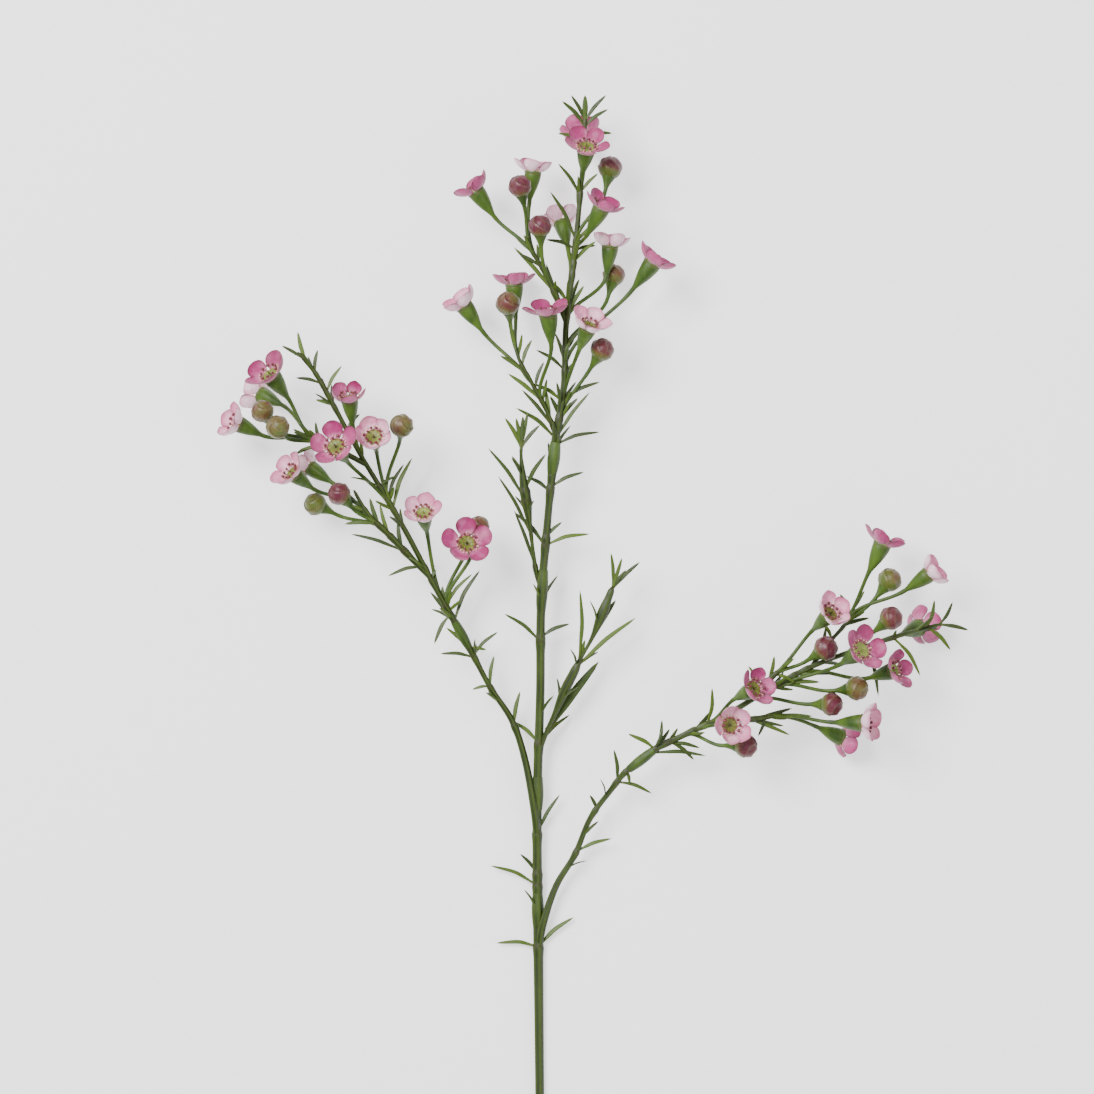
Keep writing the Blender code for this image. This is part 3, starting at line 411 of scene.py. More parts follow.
@dataclass
class Layout:
    """Where every stem, stalk and leaf lies, in the view's millimetres."""

    axis_step: float = 22.0
    cup_length: float = 15.0
    disc_height: float = 1.5
    seat_gap: float = 0.3
    neck_length: float = 6.0
    pedicel_pull: float = 0.35
    leaf_bow: float = 0.08
    leaf_set: float = 0.3
    leaf_cant: float = 0.4
    lift_step: float = 5.0
    lift_turns: int = 9
    bloom_heart: float = 3.0
    bloom_clearance: float = 11.5
    bloom_margin: float = 0.8
    bud_clearance: float = 1.4
    stem_clearance: float = 2.2
    surface_clearance: float = 1.4
    surface_margin: float = 0.2
    cut_depth: float = 0.0005
    pair_turn: float = 50.0
    pair_spread: Place = (30.0, 55.0)
    pair_lengths: Place = (0.8, 1.2)
    pair_gaps: Place = (0.85, 1.15)
    pair_seed: int = 7
    axes: dict[str, list[Vector]] = field(init=False)
    leaves: dict[str, list[LeafLine]] = field(init=False)
    move: Vector = field(init=False)

    def __post_init__(self) -> None:
        """Lays out the axes and the leaves, and finds the move from the view to the frame."""
        self.axes = {
            name: smooth_line([p[:3] for p in points], self.axis_step) for name, points in STEMS.items()
        }
        draw = random.Random(self.pair_seed)
        self.leaves = {}
        for node in (stem for stem in STEMS if stem not in TWIGS):
            lines = []
            for axis in self.members(node):
                broad = [row[1:] for row in BROAD_LEAVES if row[0] == axis]
                for leaf, half in [(leaf, None) for leaf in LEAVES[axis]] + broad:
                    lines.append(self.seen_leaf(axis, leaf, half))
                for run in PAIR_RUNS:
                    if run[0] == axis:
                        lines += self.pair_leaves(run, draw)
            self.leaves[node] = [line for line in lines if line]
        self.move = self.view_to_frame()

    def members(self, node: str) -> list[str]:
        """The stem itself and the twigs that are one piece with it."""
        return [node] + [twig for twig, carrier in TWIGS.items() if carrier == node]

    def view_to_frame(self) -> Vector:
        """Compares the main stem's cut end in the frame with its place in the view.

        Returns:
            The move from the view's origin to the frame's, in millimetres.
        """
        spots = [v.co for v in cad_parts["main_stem"].data.vertices]
        low = min(p.y for p in spots)
        cut = [p for p in spots if p.y < low + self.cut_depth]
        middle = Vector([(min(p[i] for p in cut) + max(p[i] for p in cut)) / 2 for i in range(3)])
        return middle / MM - Vector(STEMS["main_stem"][0][:3])

    def placed(self, point: Vector) -> Vector:
        """A point of the view in the frame's metres."""
        return (point + self.move) * MM

    def nearest(self, stem: str, x: float, y: float) -> tuple[Vector, Vector]:
        """The axis point of a stem that is nearest in plan, and its direction there.

        Args:
            stem: The stem's name.
            x: The place's x.
            y: The place's y.

        Returns:
            The point and the unit direction.
        """
        best = None
        for a, b in zip(self.axes[stem], self.axes[stem][1:]):
            run = (b - a).xy
            t = max(0.0, min(1.0, (Vector((x, y)) - a.xy).dot(run) / run.length_squared))
            spot = a.lerp(b, t)
            gap = (spot.xy - Vector((x, y))).length
            if best is None or gap < best[0]:
                best = (gap, spot, (b - a).normalized())
        return best[1], best[2]

    def axis_at(self, stem: str, height: float) -> Vector:
        """The axis point of a stem at a height.

        Args:
            stem: The stem's name.
            height: The height, along +Y.

        Returns:
            The point, or the nearer end.
        """
        line = self.axes[stem]
        for a, b in zip(line, line[1:]):
            if a.y <= height <= b.y:
                return a.lerp(b, (height - a.y) / (b.y - a.y))
        return line[0] if height < line[0].y else line[-1]

    def radius_at(self, stem: str, spot: Vector) -> float:
        """The stem's radius at a point of its axis."""
        return min(STEMS[stem], key=lambda p: (Vector(p[:3]) - spot).length)[3]

    def pedicel(self, stem: str, root: Place, foot: Vector, out: Vector, count: int) -> list[Vector]:
        """A smooth line from the stem to a cup's or a neck's foot.

        Args:
            stem: The stem that it leaves.
            root: Where it leaves it.
            foot: Where it ends.
            out: The way that it ends along.
            count: How many spans it has.

        Returns:
            The line's points.
        """
        start, way = self.nearest(stem, *root)
        reach = (foot - start).length
        first, last = start + way * reach * self.pedicel_pull, foot - out * reach * self.pedicel_pull
        line = []
        for i in range(count + 1):
            t = i / count
            s = 1 - t
            line.append(s**3 * start + 3 * s * s * t * first + 3 * s * t * t * last + t**3 * foot)
        return line

    def is_clear(self, stem: str, points: Iterable[Vector]) -> bool:
        """Whether a leaf misses every bloom, bud, other stem and the surface.

        Args:
            stem: The stem that carries it.
            points: The leaf's points.

        Returns:
            Whether it does.
        """
        others = [name for name in STEMS if TWIGS.get(name, name) != TWIGS.get(stem, stem)]
        for point in points:
            if point.z < self.surface_clearance:
                return False
            for other in others:
                spot, _ = self.nearest(other, point.x, point.y)
                if (spot - point).length < self.radius_at(other, spot) + self.stem_clearance:
                    return False
            for bloom in BLOOMS:
                heart = Vector(bloom.centre) + bloom.out * self.bloom_heart
                if (point - heart).length < self.bloom_clearance * bloom.size + self.bloom_margin:
                    return False
            for bud in BUDS:
                if (point - Vector(bud.centre)).length < bud.radius + self.bud_clearance:
                    return False
        return True

    def seen_leaf(self, stem: str, leaf: tuple[float, float, float, float],
                  half: float | None = None) -> LeafLine | None:
        """A leaf of the view, bent up or down until it misses the blooms.

        Args:
            stem: The stem that carries it.
            leaf: Its root and its tip in plan.
            half: Its half width, if it is a broad one.

        Returns:
            Its line, or None if there is no room for it.
        """
        for turn in range(self.lift_turns):
            lift = (turn + 1) // 2 * self.lift_step * (1 if turn % 2 else -1)
            start, way = self.nearest(stem, *leaf[:2])
            end = Vector((*leaf[2:], start.z + lift))
            end.z = max(end.z, self.surface_clearance + self.surface_margin)
            line = self.bowed(start, end, way, (end - start).length, self.leaf_set)
            if self.has_room(stem, line):
                return LeafLine(line, (way * self.leaf_cant + Vector((0, 0, 1))).normalized(), half)
        return None

    def bowed(self, start: Vector, end: Vector, way: Vector, length: float, hug: float = 0.0) -> list[Vector]:
        """The four points of a leaf that bows along its stem.

        Args:
            start: Its root.
            end: Its tip.
            way: The stem's direction.
            length: Its length.
            hug: How far its foot follows the stem.

        Returns:
            The points, from root to tip.
        """
        middle = start.lerp(end, 0.5) + way * self.leaf_bow * length
        return [start, start.lerp(middle, 0.5) + way * hug, middle, end]

    def has_room(self, stem: str, line: list[Vector]) -> bool:
        """Whether a leaf's line is clear past its root."""
        return self.is_clear(stem, line[1:] + [line[2].lerp(line[3], 0.5)])

    def pair_leaves(self, run: tuple[str, float, float, float, float], draw: random.Random) -> list[LeafLine]:
        """A run of leaf pairs that point towards and away from the viewer.

        Args:
            run: The stem, the first and last height, the spacing and the leaves' length.
            draw: The random draw that all the runs share.

        Returns:
            The lines of the leaves that have room.
        """
        stem, height, last, spacing, length = run
        lines = []
        while height < last:
            start, way = self.nearest(stem, self.axis_at(stem, height).x, height)
            for side in (-1, 1):
                turn = draw.uniform(-self.pair_turn, self.pair_turn) + (0 if side > 0 else 180)
                up = (way.cross(Vector((0, 0, 1))).cross(way)).normalized()
                out = Quaternion(way, math.radians(turn)) @ up
                reach = length * draw.uniform(*self.pair_lengths)
                spread = math.radians(draw.uniform(*self.pair_spread))
                end = start + (way * math.cos(spread) + out * math.sin(spread)) * reach
                line = self.bowed(start, end, way, reach)
                if self.has_room(stem, line):
                    lines.append(LeafLine(line, way))
            height += spacing * draw.uniform(*self.pair_gaps)
        return lines


@dataclass
class Graph:
    """Adds nodes to a shader or geometry tree, linked as they are made."""

    tree: bpy.types.NodeTree

    def add(self, kind: str, inputs: dict | None = None, **settings: object) -> bpy.types.Node:
        """A new node.

        Args:
            kind: The node's type name.
            inputs: Values or sockets, by input name or number.
            settings: The node's own settings.

        Returns:
            The node.
        """
        node = self.tree.nodes.new(kind)
        for name, value in settings.items():
            setattr(node, name, value)
        for key, value in (inputs or {}).items():
            if isinstance(value, Socket):
                self.tree.links.new(value, node.inputs[key])
            else:
                node.inputs[key].default_value = value
        return node

    def geo(self, kind: str, inputs: dict | None = None, **settings: object) -> Socket:
        """The first output of a new geometry node."""
        return self.add("GeometryNode" + kind, inputs, **settings).outputs[0]

    def solid(self, socket: Socket) -> Socket:
        """The geometry of the object that a socket names."""
        return self.add("GeometryNodeObjectInfo", {"Object": socket}).outputs["Geometry"]

    def math(self, operation: str, *values: object) -> Socket:
        """The result of a Math node on numbers or sockets."""
        return self.add("ShaderNodeMath", dict(enumerate(values)), operation=operation).outputs[0]

    def vector(self, operation: str, inputs: dict) -> Socket:
        """The result of a Vector Math node."""
        return self.add("ShaderNodeVectorMath", inputs, operation=operation).outputs[0]

    def attribute(self, name: str) -> Socket:
        """The number that a named attribute holds, in a shader."""
        return self.add("ShaderNodeAttribute", attribute_name=name).outputs["Fac"]

    def named(self, name: str, kind: str = "FLOAT") -> Socket:
        """The value that a named attribute holds, in a geometry tree."""
        return self.geo("InputNamedAttribute", {"Name": name}, data_type=kind)

    def mix(self, factor: object, first: object, second: object) -> Socket:
        """A colour mixed from two by a factor."""
        return self.add("ShaderNodeMix", {0: factor, 6: first, 7: second}, data_type="RGBA").outputs[2]

    def ramp(self, factor: Socket, *stops: tuple[float, object]) -> Socket:
        """A colour or grey read from a ramp.

        Args:
            factor: What the ramp is read at.
            stops: Places and colours, or places and numbers for greys.

        Returns:
            The ramp's colour.
        """
        node = self.add("ShaderNodeValToRGB", {"Fac": factor})
        ramp = node.color_ramp
        while len(ramp.elements) < len(stops):
            ramp.elements.new(0.5)
        for element, (place, colour) in zip(ramp.elements, stops):
            element.position = place
            element.color = colour if isinstance(colour, tuple) else (colour, colour, colour, 1)
        return node.outputs["Color"]

    def noise(self, scale: float, detail: float = 3, stretch: Point = (1, 1, 1), uv: bool = False) -> Socket:
        """A noise on object or UV coordinates.

        Args:
            scale: Cells a metre, or cells across the UV square.
            detail: Octaves.
            stretch: How the coordinates are scaled first.
            uv: Whether it lies on the UV map.

        Returns:
            The noise's value, from 0 to 1.
        """
        place = self.add("ShaderNodeTexCoord").outputs["UV" if uv else "Object"]
        mapped = self.add("ShaderNodeMapping", {"Vector": place, "Scale": stretch}).outputs[0]
        values = {"Vector": mapped, "Scale": scale, "Detail": detail}
        return self.add("ShaderNodeTexNoise", values).outputs[0]


def principled(name: str, values: dict[str, object]) -> tuple[Material, bpy.types.Node]:
    """A new material.

    Args:
        name: The material's name.
        values: Values of its surface's inputs.

    Returns:
        The material and its Principled node.
    """
    material = bpy.data.materials.new(name)
    material.use_nodes = True
    shader = material.node_tree.nodes["Principled BSDF"]
    for key, value in values.items():
        shader.inputs[key].default_value = value
    return material, shader


def linked(name: str, data: bpy.types.ID) -> Object:
    """A new object in the scene.

    Args:
        name: The object's name.
        data: Its mesh, lamp or camera.

    Returns:
        The object.
    """
    obj = bpy.data.objects.new(name, data)
    bpy.context.scene.collection.objects.link(obj)
    return obj


@dataclass
class Finish:
    """A procedural finish: a Principled surface with its own colour, roughness and bump."""

    name: str
    roughness: float = 0.45
    gloss_spread: float = 0.25
    gloss_drop: float = 0.12
    specular: float = 0.5
    sheen: float = 0.0
    soft: float = 0.0
    soft_radius: Point = (0.004, 0.002, 0.002)
    soft_scale: float = 0.25
    bump: float = 0.2
    bump_distance: float = 0.0002
    material: Material = field(init=False)

    def __post_init__(self) -> None:
        """Builds the material once."""
        self.material, shader = principled(self.name, {
            "Specular IOR Level": self.specular, "Sheen Weight": self.sheen,
            "Subsurface Weight": self.soft, "Subsurface Radius": self.soft_radius,
            "Subsurface Scale": self.soft_scale,
        })
        graph = Graph(self.material.node_tree)
        links = self.material.node_tree.links
        links.new(self.colour(graph), shader.inputs["Base Color"])
        links.new(self.gloss(graph), shader.inputs["Roughness"])
        relief = graph.add("ShaderNodeBump", {
            "Height": self.height(graph), "Strength": self.bump, "Distance": self.bump_distance,
        })
        links.new(relief.outputs[0], shader.inputs["Normal"])

    def colour(self, graph: Graph) -> Socket:
        """The colour that the surface shows."""
        raise NotImplementedError

    def height(self, graph: Graph) -> Socket:
        """The fine relief."""
        return graph.noise(900, detail=4)

    def gloss(self, graph: Graph) -> Socket:
        """The roughness, a little uneven."""
        least = self.roughness - self.gloss_drop
        return graph.math("MULTIPLY_ADD", graph.noise(400), self.gloss_spread, least)


@dataclass
class StemFinish(Finish):
    """Waxy green stems, lighter on the cups, with a painted highlight along the ridges that leaves the
    grooves darker.
    """

    groove: Colour = srgb(22, 34, 10)
    bark: Colour = srgb(36, 50, 16)
    fleck: Colour = srgb(58, 76, 24)
    # Painted highlight on the ridges: its colour, and how strongly it shows.
    ridge_highlight: Colour = srgb(86, 102, 34)
    ridge_highlight_gain: float = 0.24
    ridge_least: float = 0.22
    cup_deep: Colour = srgb(44, 68, 20)
    cup_light: Colour = srgb(78, 104, 30)
    scar: Colour = srgb(48, 44, 18)
    blush: Colour = srgb(128, 78, 70)

    def colour(self, graph: Graph) -> Socket:
        """Green that lightens towards the cups, with mottling along the stem and a painted highlight on the
        ridges.

        Args:
            graph: The material's nodes.

        Returns:
            The colour.
        """
        mottle = graph.noise(160, detail=4, stretch=(1, 0.35, 1))
        bark = graph.ramp(mottle, (0.3, self.groove), (0.55, self.bark), (0.8, self.fleck))
        # Painted highlight: the ridges are lightened along the rib wave.
        ridge_highlight = graph.math("MULTIPLY_ADD", graph.attribute("rib"), self.ridge_highlight_gain, self.ridge_least)
        bark = graph.mix(ridge_highlight, bark, self.ridge_highlight)
        cup = graph.ramp(mottle, (0.3, self.cup_deep), (0.7, self.cup_light))
        both = graph.mix(graph.attribute("cup"), bark, cup)
        both = graph.mix(graph.attribute("scar"), both, self.scar)
        return graph.mix(graph.attribute("blush"), both, self.blush)

    def height(self, graph: Graph) -> Socket:
        """Fine lengthwise grain."""
        return graph.noise(900, detail=4, stretch=(1, 0.2, 1))


@dataclass
class LeafFinish(Finish):
    """Needle leaves: deep green that differs from leaf to leaf, paler at the root and the point."""

    deep: Colour = srgb(26, 40, 10)
    middle: Colour = srgb(42, 60, 14)
    light: Colour = srgb(72, 94, 22)
    fleck: Colour = srgb(94, 114, 36)
    fleck_share: float = 0.3
    ends: Colour = srgb(98, 108, 36)

    def colour(self, graph: Graph) -> Socket:
        """Green by leaf, with a paler root and a brownish point.

        Args:
            graph: The material's nodes.

        Returns:
            The colour.
        """
        tone = graph.ramp(graph.attribute("tone"), (0.0, self.deep), (0.5, self.middle), (1.0, self.light))
        mottle = graph.mix(graph.math("MULTIPLY", graph.noise(300), self.fleck_share), tone, self.fleck)
        along = graph.ramp(graph.attribute("along"), (0.0, 0.45), (0.25, 0.0), (0.9, 0.0), (1.0, 0.6))
        return graph.mix(along, mottle, self.ends)


@dataclass
class PetalFinish(Finish):
    """Petals: paler at the foot, richer towards the edge, with fine veins along them."""

    foot: Colour = srgb(150, 96, 84)
    under_foot: Colour = srgb(128, 112, 72)
    heart: Colour = srgb(212, 122, 166)
    body: Colour = srgb(162, 38, 106)
    edge: Colour = srgb(112, 14, 62)
    under: Colour = srgb(188, 74, 132)
    rim_share: float = 0.8

    def colour(self, graph: Graph) -> Socket:
        """A gradient from foot to edge, broken by veins and soft patches.

        Args:
            graph: The material's nodes.

        Returns:
            The colour.
        """
        along = graph.attribute("along")
        rim = graph.attribute("rim")
        base = graph.ramp(along, (0.0, self.foot), (0.1, self.heart), (0.4, self.body), (1.0, self.body))
        outer = graph.ramp(along, (0.0, self.under_foot), (0.1, self.heart), (0.5, self.under),
                           (1.0, self.under))
        base = graph.mix(graph.attribute("under"), base, outer)
        shade = graph.attribute("shade")
        base = graph.mix(graph.ramp(shade, (0.0, 0.35), (0.35, 0.0)), base, self.edge)
        base = graph.mix(graph.ramp(shade, (0.7, 0.0), (1.0, 0.5)), base, self.heart)
        base = graph.mix(graph.math("MULTIPLY", rim, self.rim_share), base, self.edge)
        veins = graph.ramp(graph.noise(5, stretch=(7, 0.8, 1), uv=True), (0.42, 0.0), (0.66, 0.5))
        base = graph.mix(veins, base, self.edge)
        patches = graph.ramp(graph.noise(160), (0.5, 0.0), (0.72, 0.45))
        return graph.mix(patches, base, self.heart)

    def height(self, graph: Graph) -> Socket:
        """Veins that stand a little proud."""
        return graph.noise(6, detail=4, stretch=(8, 0.8, 1), uv=True)


@dataclass
class BudFinish(Finish):
    """Buds: maroon over olive green, with a painted highlight along each petal's raised edge and painted
    shade in the fold under it.
    """

    green: Colour = srgb(76, 90, 24)
    olive: Colour = srgb(88, 76, 30)
    russet: Colour = srgb(88, 32, 34)
    maroon: Colour = srgb(84, 16, 42)
    patchiness: float = 1.3
    streak: Colour = srgb(112, 92, 44)
    # Painted highlight along each petal's raised edge, and how much of it shows.
    lip: Colour = srgb(150, 122, 82)
    lip_highlight_share: float = 0.35
    # Painted shade in the crease under each overlapping petal, and how much of it shows.
    fold: Colour = srgb(44, 12, 16)
    fold_shade_share: float = 0.9

    def colour(self, graph: Graph) -> Socket:
        """Green at the base and where a bud is young, maroon elsewhere, streaked from base to tip, with a
        painted highlight on each petal's edge and painted shade in the fold below it.

        Args:
            graph: The material's nodes.

        Returns:
            The colour.
        """
        patch = graph.math("MULTIPLY_ADD", graph.noise(90), self.patchiness, -self.patchiness / 2)
        blush = graph.math("ADD", graph.attribute("blush"), patch)
        skin = graph.ramp(blush, (0.15, self.green), (0.4, self.olive), (0.62, self.russet),
                          (0.95, self.maroon))
        streak = graph.ramp(graph.noise(9, stretch=(5, 0.4, 1), uv=True), (0.5, 0.0), (0.72, 0.4))
        skin = graph.mix(streak, skin, self.streak)
        # A painted highlight on the raised petal edges, then painted shade in the folds below them.
        skin = graph.mix(graph.math("MULTIPLY", graph.attribute("lip"), self.lip_highlight_share), skin, self.lip)
        return graph.mix(graph.math("MULTIPLY", graph.attribute("fold"), self.fold_shade_share), skin, self.fold)

    def height(self, graph: Graph) -> Socket:
        """Wrinkles from base to tip."""
        return graph.noise(16, detail=4, stretch=(5, 0.5, 1), uv=True)


@dataclass
class HeartFinish(Finish):
    """The disc: yellow green with darker pits round a dark centre."""

    centre: Colour = srgb(36, 30, 10)
    olive: Colour = srgb(70, 70, 18)
    green: Colour = srgb(102, 110, 30)
    yellow: Colour = srgb(120, 128, 40)
    flush: Colour = srgb(136, 80, 52)
    outside: Colour = srgb(96, 104, 36)
    pit: Colour = srgb(74, 58, 24)
    pit_share: float = 0.7
    young: Colour = srgb(148, 168, 80)
    speck: Colour = srgb(184, 180, 98)
    rim: Colour = srgb(66, 88, 28)

    def colour(self, graph: Graph) -> Socket:
        """Yellow green lobes, olive between them, dark in the middle and pinkish near the rim.

        Args:
            graph: The material's nodes.

        Returns:
            The colour.
        """
        along = graph.attribute("along")
        lobe = graph.attribute("fold")
        flesh = graph.ramp(along, (0.0, self.centre), (0.14, self.olive), (0.4, self.green),
                           (0.72, self.yellow), (0.86, self.flush), (1.0, self.outside))
        flesh = graph.mix(graph.math("MULTIPLY", lobe, self.pit_share), flesh, self.pit)
        young = graph.ramp(graph.noise(25, detail=1), (0.5, 0.0), (0.62, 0.6))
        flesh = graph.mix(young, flesh, self.young)
        specks = graph.ramp(graph.noise(1400), (0.55, 0.0), (0.7, 0.45))
        flesh = graph.mix(specks, flesh, self.speck)
        return graph.mix(graph.ramp(along, (0.92, 0.0), (0.96, 1.0)), flesh, self.rim)


@dataclass
class StamenFinish(Finish):
    """Stamens: pale pink filaments that end in dark maroon anthers."""

    foot: Colour = srgb(226, 178, 188)
    thread: Colour = srgb(196, 110, 130)
    neck: Colour = srgb(98, 26, 44)
    anther: Colour = srgb(74, 20, 34)
    pollen: Colour = srgb(168, 92, 96)
    pollen_share: float = 0.4

    def colour(self, graph: Graph) -> Socket:
        """Pale at the foot and dark at the anther.

        Args:
            graph: The material's nodes.

        Returns:
            The colour.
        """
        thread = graph.ramp(graph.attribute("along"), (0.0, self.foot), (0.55, self.thread),
                            (0.68, self.neck), (1.0, self.anther))
        return graph.mix(graph.math("MULTIPLY", graph.noise(1500), self.pollen_share), thread, self.pollen)


@dataclass
class BeadFinish(Finish):
    """The small sterile beads at the disc's rim: cream, flushed with pink."""

    cream: Colour = srgb(226, 202, 150)
    pink: Colour = srgb(216, 150, 160)

    def colour(self, graph: Graph) -> Socket:
        """Cream to pink."""
        return graph.ramp(graph.noise(700, detail=2), (0.4, self.cream), (0.6, self.pink))


@dataclass
class Draft:
    """A mesh while it is built: points, faces, and values at the points."""

    points: list[Vector] = field(default_factory=list)
    faces: list[tuple[int, ...]] = field(default_factory=list)
    edges: list[tuple[int, int]] = field(default_factory=list)
    values: dict[str, list] = field(default_factory=dict)
    uvs: list[Place] = field(default_factory=list)

    def point(self, place: Vector, uv: Place | None = None, **values: object) -> int:
        """Adds a point.

        Args:
            place: Where it is.
            uv: Where it is on the UV map.
            values: Its values, by attribute.

        Returns:
            Its number.
        """
        self.points.append(place)
        if uv is not None:
            self.uvs.append(uv)
        for name, value in values.items():
            self.values.setdefault(name, []).append(value)
        return len(self.points) - 1

    def chain(self, spots: list[int]) -> None:
        """Adds the edges that join points in a line."""
        self.edges += zip(spots, spots[1:])

    def skin(self, rows: list[list[int]], closed: bool) -> None:
        """Adds the quads between rows of points.

        Args:
            rows: Rows of point numbers, all of one length.
            closed: Whether each row is a ring.
        """
        count = len(rows[0])
        for low, high in zip(rows, rows[1:]):
            for i in range(count if closed else count - 1):
                j = (i + 1) % count
                self.faces.append((low[i], low[j], high[j], high[i]))

    def build(self, name: str) -> Object:
        """The finished object, with its values as attributes and its UV map.

        Args:
            name: The object's name.

        Returns:
            The object, in the scene.
        """
        mesh = bpy.data.meshes.new(name)
        mesh.from_pydata(self.points, self.edges, self.faces)
        for key, values in self.values.items():
            vector = isinstance(values[0], Vector)
            layer = mesh.attributes.new(key, "FLOAT_VECTOR" if vector else "FLOAT", "POINT")
            flat = [c for v in values for c in v] if vector else values
            layer.data.foreach_set("vector" if vector else "value", flat)
        if self.uvs:
            layer = mesh.uv_layers.new(name="surface")
            layer.data.foreach_set("uv", [c for loop in mesh.loops for c in self.uvs[loop.vertex_index]])
        if self.faces:
            mesh.shade_smooth()
        mesh.validate()
        return linked(name, mesh)


@dataclass
class GrowthTree:
    """A Geometry Nodes tree with named inputs, which a guide mesh is run through."""

    name: str
    inputs: dict[str, tuple[str, object]]
    tree: bpy.types.NodeTree = field(init=False)
    graph: Graph = field(init=False)
    given: bpy.types.NodeOutputs = field(init=False)

    def __post_init__(self) -> None:
        """Makes the sockets and the nodes, which end in Realize Instances and Set Material."""
        self.tree = bpy.data.node_groups.new(self.name, "GeometryNodeTree")
        face = self.tree.interface
        sockets = {"Geometry": ("Geometry", None), **self.inputs, "Material": ("Material", None)}
        for name, (kind, value) in sockets.items():
            socket = face.new_socket(name, in_out="INPUT", socket_type="NodeSocket" + kind)
            if value is not None:
                socket.default_value = value
        face.new_socket("Geometry", in_out="OUTPUT", socket_type="NodeSocketGeometry")
        self.graph = Graph(self.tree)
        self.given = self.graph.add("NodeGroupInput").outputs
        grown = self.grow(self.given["Geometry"])
        smooth = self.graph.geo("SetShadeSmooth", {"Geometry": grown, "Shade Smooth": True})
        real = self.graph.geo("RealizeInstances", {0: smooth})
        dressed = self.graph.geo("SetMaterial", {"Geometry": real, "Material": self.given["Material"]})
        self.graph.add("NodeGroupOutput", {0: dressed})

    def grow(self, geometry: Socket) -> Socket:
        """The nodes that turn the guide into the shape."""
        raise NotImplementedError

    def facing(self, way: Socket) -> Socket:
        """The rotation that turns +Z to a direction."""
        return self.graph.add("FunctionNodeAlignRotationToVector", {"Vector": way}, axis="Z").outputs[0]

    def run(self, guide: Object, name: str, **values: object) -> Object:
        """Grows a plain mesh from a guide, which is removed.

        Args:
            guide: The mesh that the tree starts from.
            name: The new object's name.
            values: The tree's inputs, by name with _ for a space.

        Returns:
            The finished object, with no modifier.
        """
        modifier = guide.modifiers.new(self.name, "NODES")
        modifier.node_group = self.tree
        for item in self.tree.interface.items_tree:
            key = item.name.replace(" ", "_")
            if item.in_out == "INPUT" and key in values:
                modifier[item.identifier] = values[key]
        graph = bpy.context.evaluated_depsgraph_get()
        graph.update()
        mesh = bpy.data.meshes.new_from_object(guide.evaluated_get(graph))
        mesh.name = name
        bpy.data.objects.remove(guide)
        return linked(name, mesh)


class RidgedTube(GrowthTree):
    """A tapering tube with soft lengthwise ridges, along each line of the guide."""

    def grow(self, geometry: Socket) -> Socket:
        """Sweeps a lobed ring along the lines, scaled by each point's radius.

        Args:
            geometry: The guide's lines.

        Returns:
            The tubes.
        """
        graph = self.graph
        line = graph.geo("MeshToCurve", {"Mesh": geometry})
        ring = graph.geo("CurvePrimitiveCircle", {"Resolution": self.given["Sides"], "Radius": 1.0})
        place = graph.geo("InputPosition")
        parts = graph.add("ShaderNodeSeparateXYZ", {0: place}).outputs
        angle = graph.math("ARCTAN2", parts[1], parts[0])
        wave = graph.math("COSINE", graph.math("MULTIPLY", angle, self.given["Ribs"]))
        grown = graph.math("MULTIPLY_ADD", wave, self.given["Rib depth"], 1.0)
        moved = graph.vector("SCALE", {0: place, "Scale": grown})
        ring = graph.geo("SetPosition", {"Geometry": ring, "Position": moved})
        # The ridge wave, kept as rib, drives the stems' painted highlight on the ridges.
        ring = graph.geo("StoreNamedAttribute", {"Geometry": ring, "Name": "rib", "Value": wave})
        return graph.geo("CurveToMesh", {
            "Curve": line, "Profile Curve": ring, "Scale": graph.named("radius"), "Fill Caps": True,
        })


@dataclass
class NeedleLeaves(GrowthTree):
    """Needle leaves with a groove above and a keel below, one along each line of the guide."""

    taper: tuple[Place, ...] = ((0, 0.75), (0.1, 0.62), (0.45, 1.0), (0.8, 0.72), (1, 0.05))

    def grow(self, geometry: Socket) -> Socket:
        """Rounds each line, turns its upper face, and sweeps the leaf's section along it.

        Args:
            geometry: The guide's lines.

        Returns:
            The leaves.
        """
        graph = self.graph
        line = graph.geo("MeshToCurve", {"Mesh": geometry})
        line = graph.geo("CurveSplineType", {"Curve": line}, spline_type="CATMULL_ROM")
        line = graph.geo("ResampleCurve", {"Curve": line, "Count": self.given["Rows"]})
        along = graph.geo("SplineParameter")
        line = graph.geo("StoreNamedAttribute", {"Geometry": line, "Name": "along", "Value": along})
        face = graph.named("face", "FLOAT_VECTOR")
        line = graph.geo("SetCurveNormal", {"Curve": line, "Normal": face}, mode="FREE")
        outline = graph.add("ShaderNodeFloatCurve", {"Value": graph.named("along")})
        points = outline.mapping.curves[0].points
        for place, wide in self.taper[1:-1]:
            points.new(place, wide)
        points[0].location, points[-1].location = self.taper[0], self.taper[-1]
        outline.mapping.update()
        wide = graph.math("MULTIPLY", outline.outputs[0], graph.named("half"))
        section = graph.geo("MeshToCurve", {"Mesh": graph.solid(self.given["Section"])})
        return graph.geo("CurveToMesh", {
            "Curve": line, "Profile Curve": section, "Scale": wide, "Fill Caps": True,
        })


class HeartPlanter(GrowthTree):
    """Sets a disc on each point of the guide, facing the way that the point says."""

    def grow(self, geometry: Socket) -> Socket:
        """Places the disc at each bloom.

        Args:
            geometry: The guide's points.

        Returns:
            The discs.
        """
        graph = self.graph
        face = self.facing(graph.named("facing", "FLOAT_VECTOR"))
        heart = graph.solid(self.given["Heart"])
        return graph.geo("InstanceOnPoints", {
            "Points": geometry, "Instance": heart, "Rotation": face, "Scale": graph.named("size"),
        })


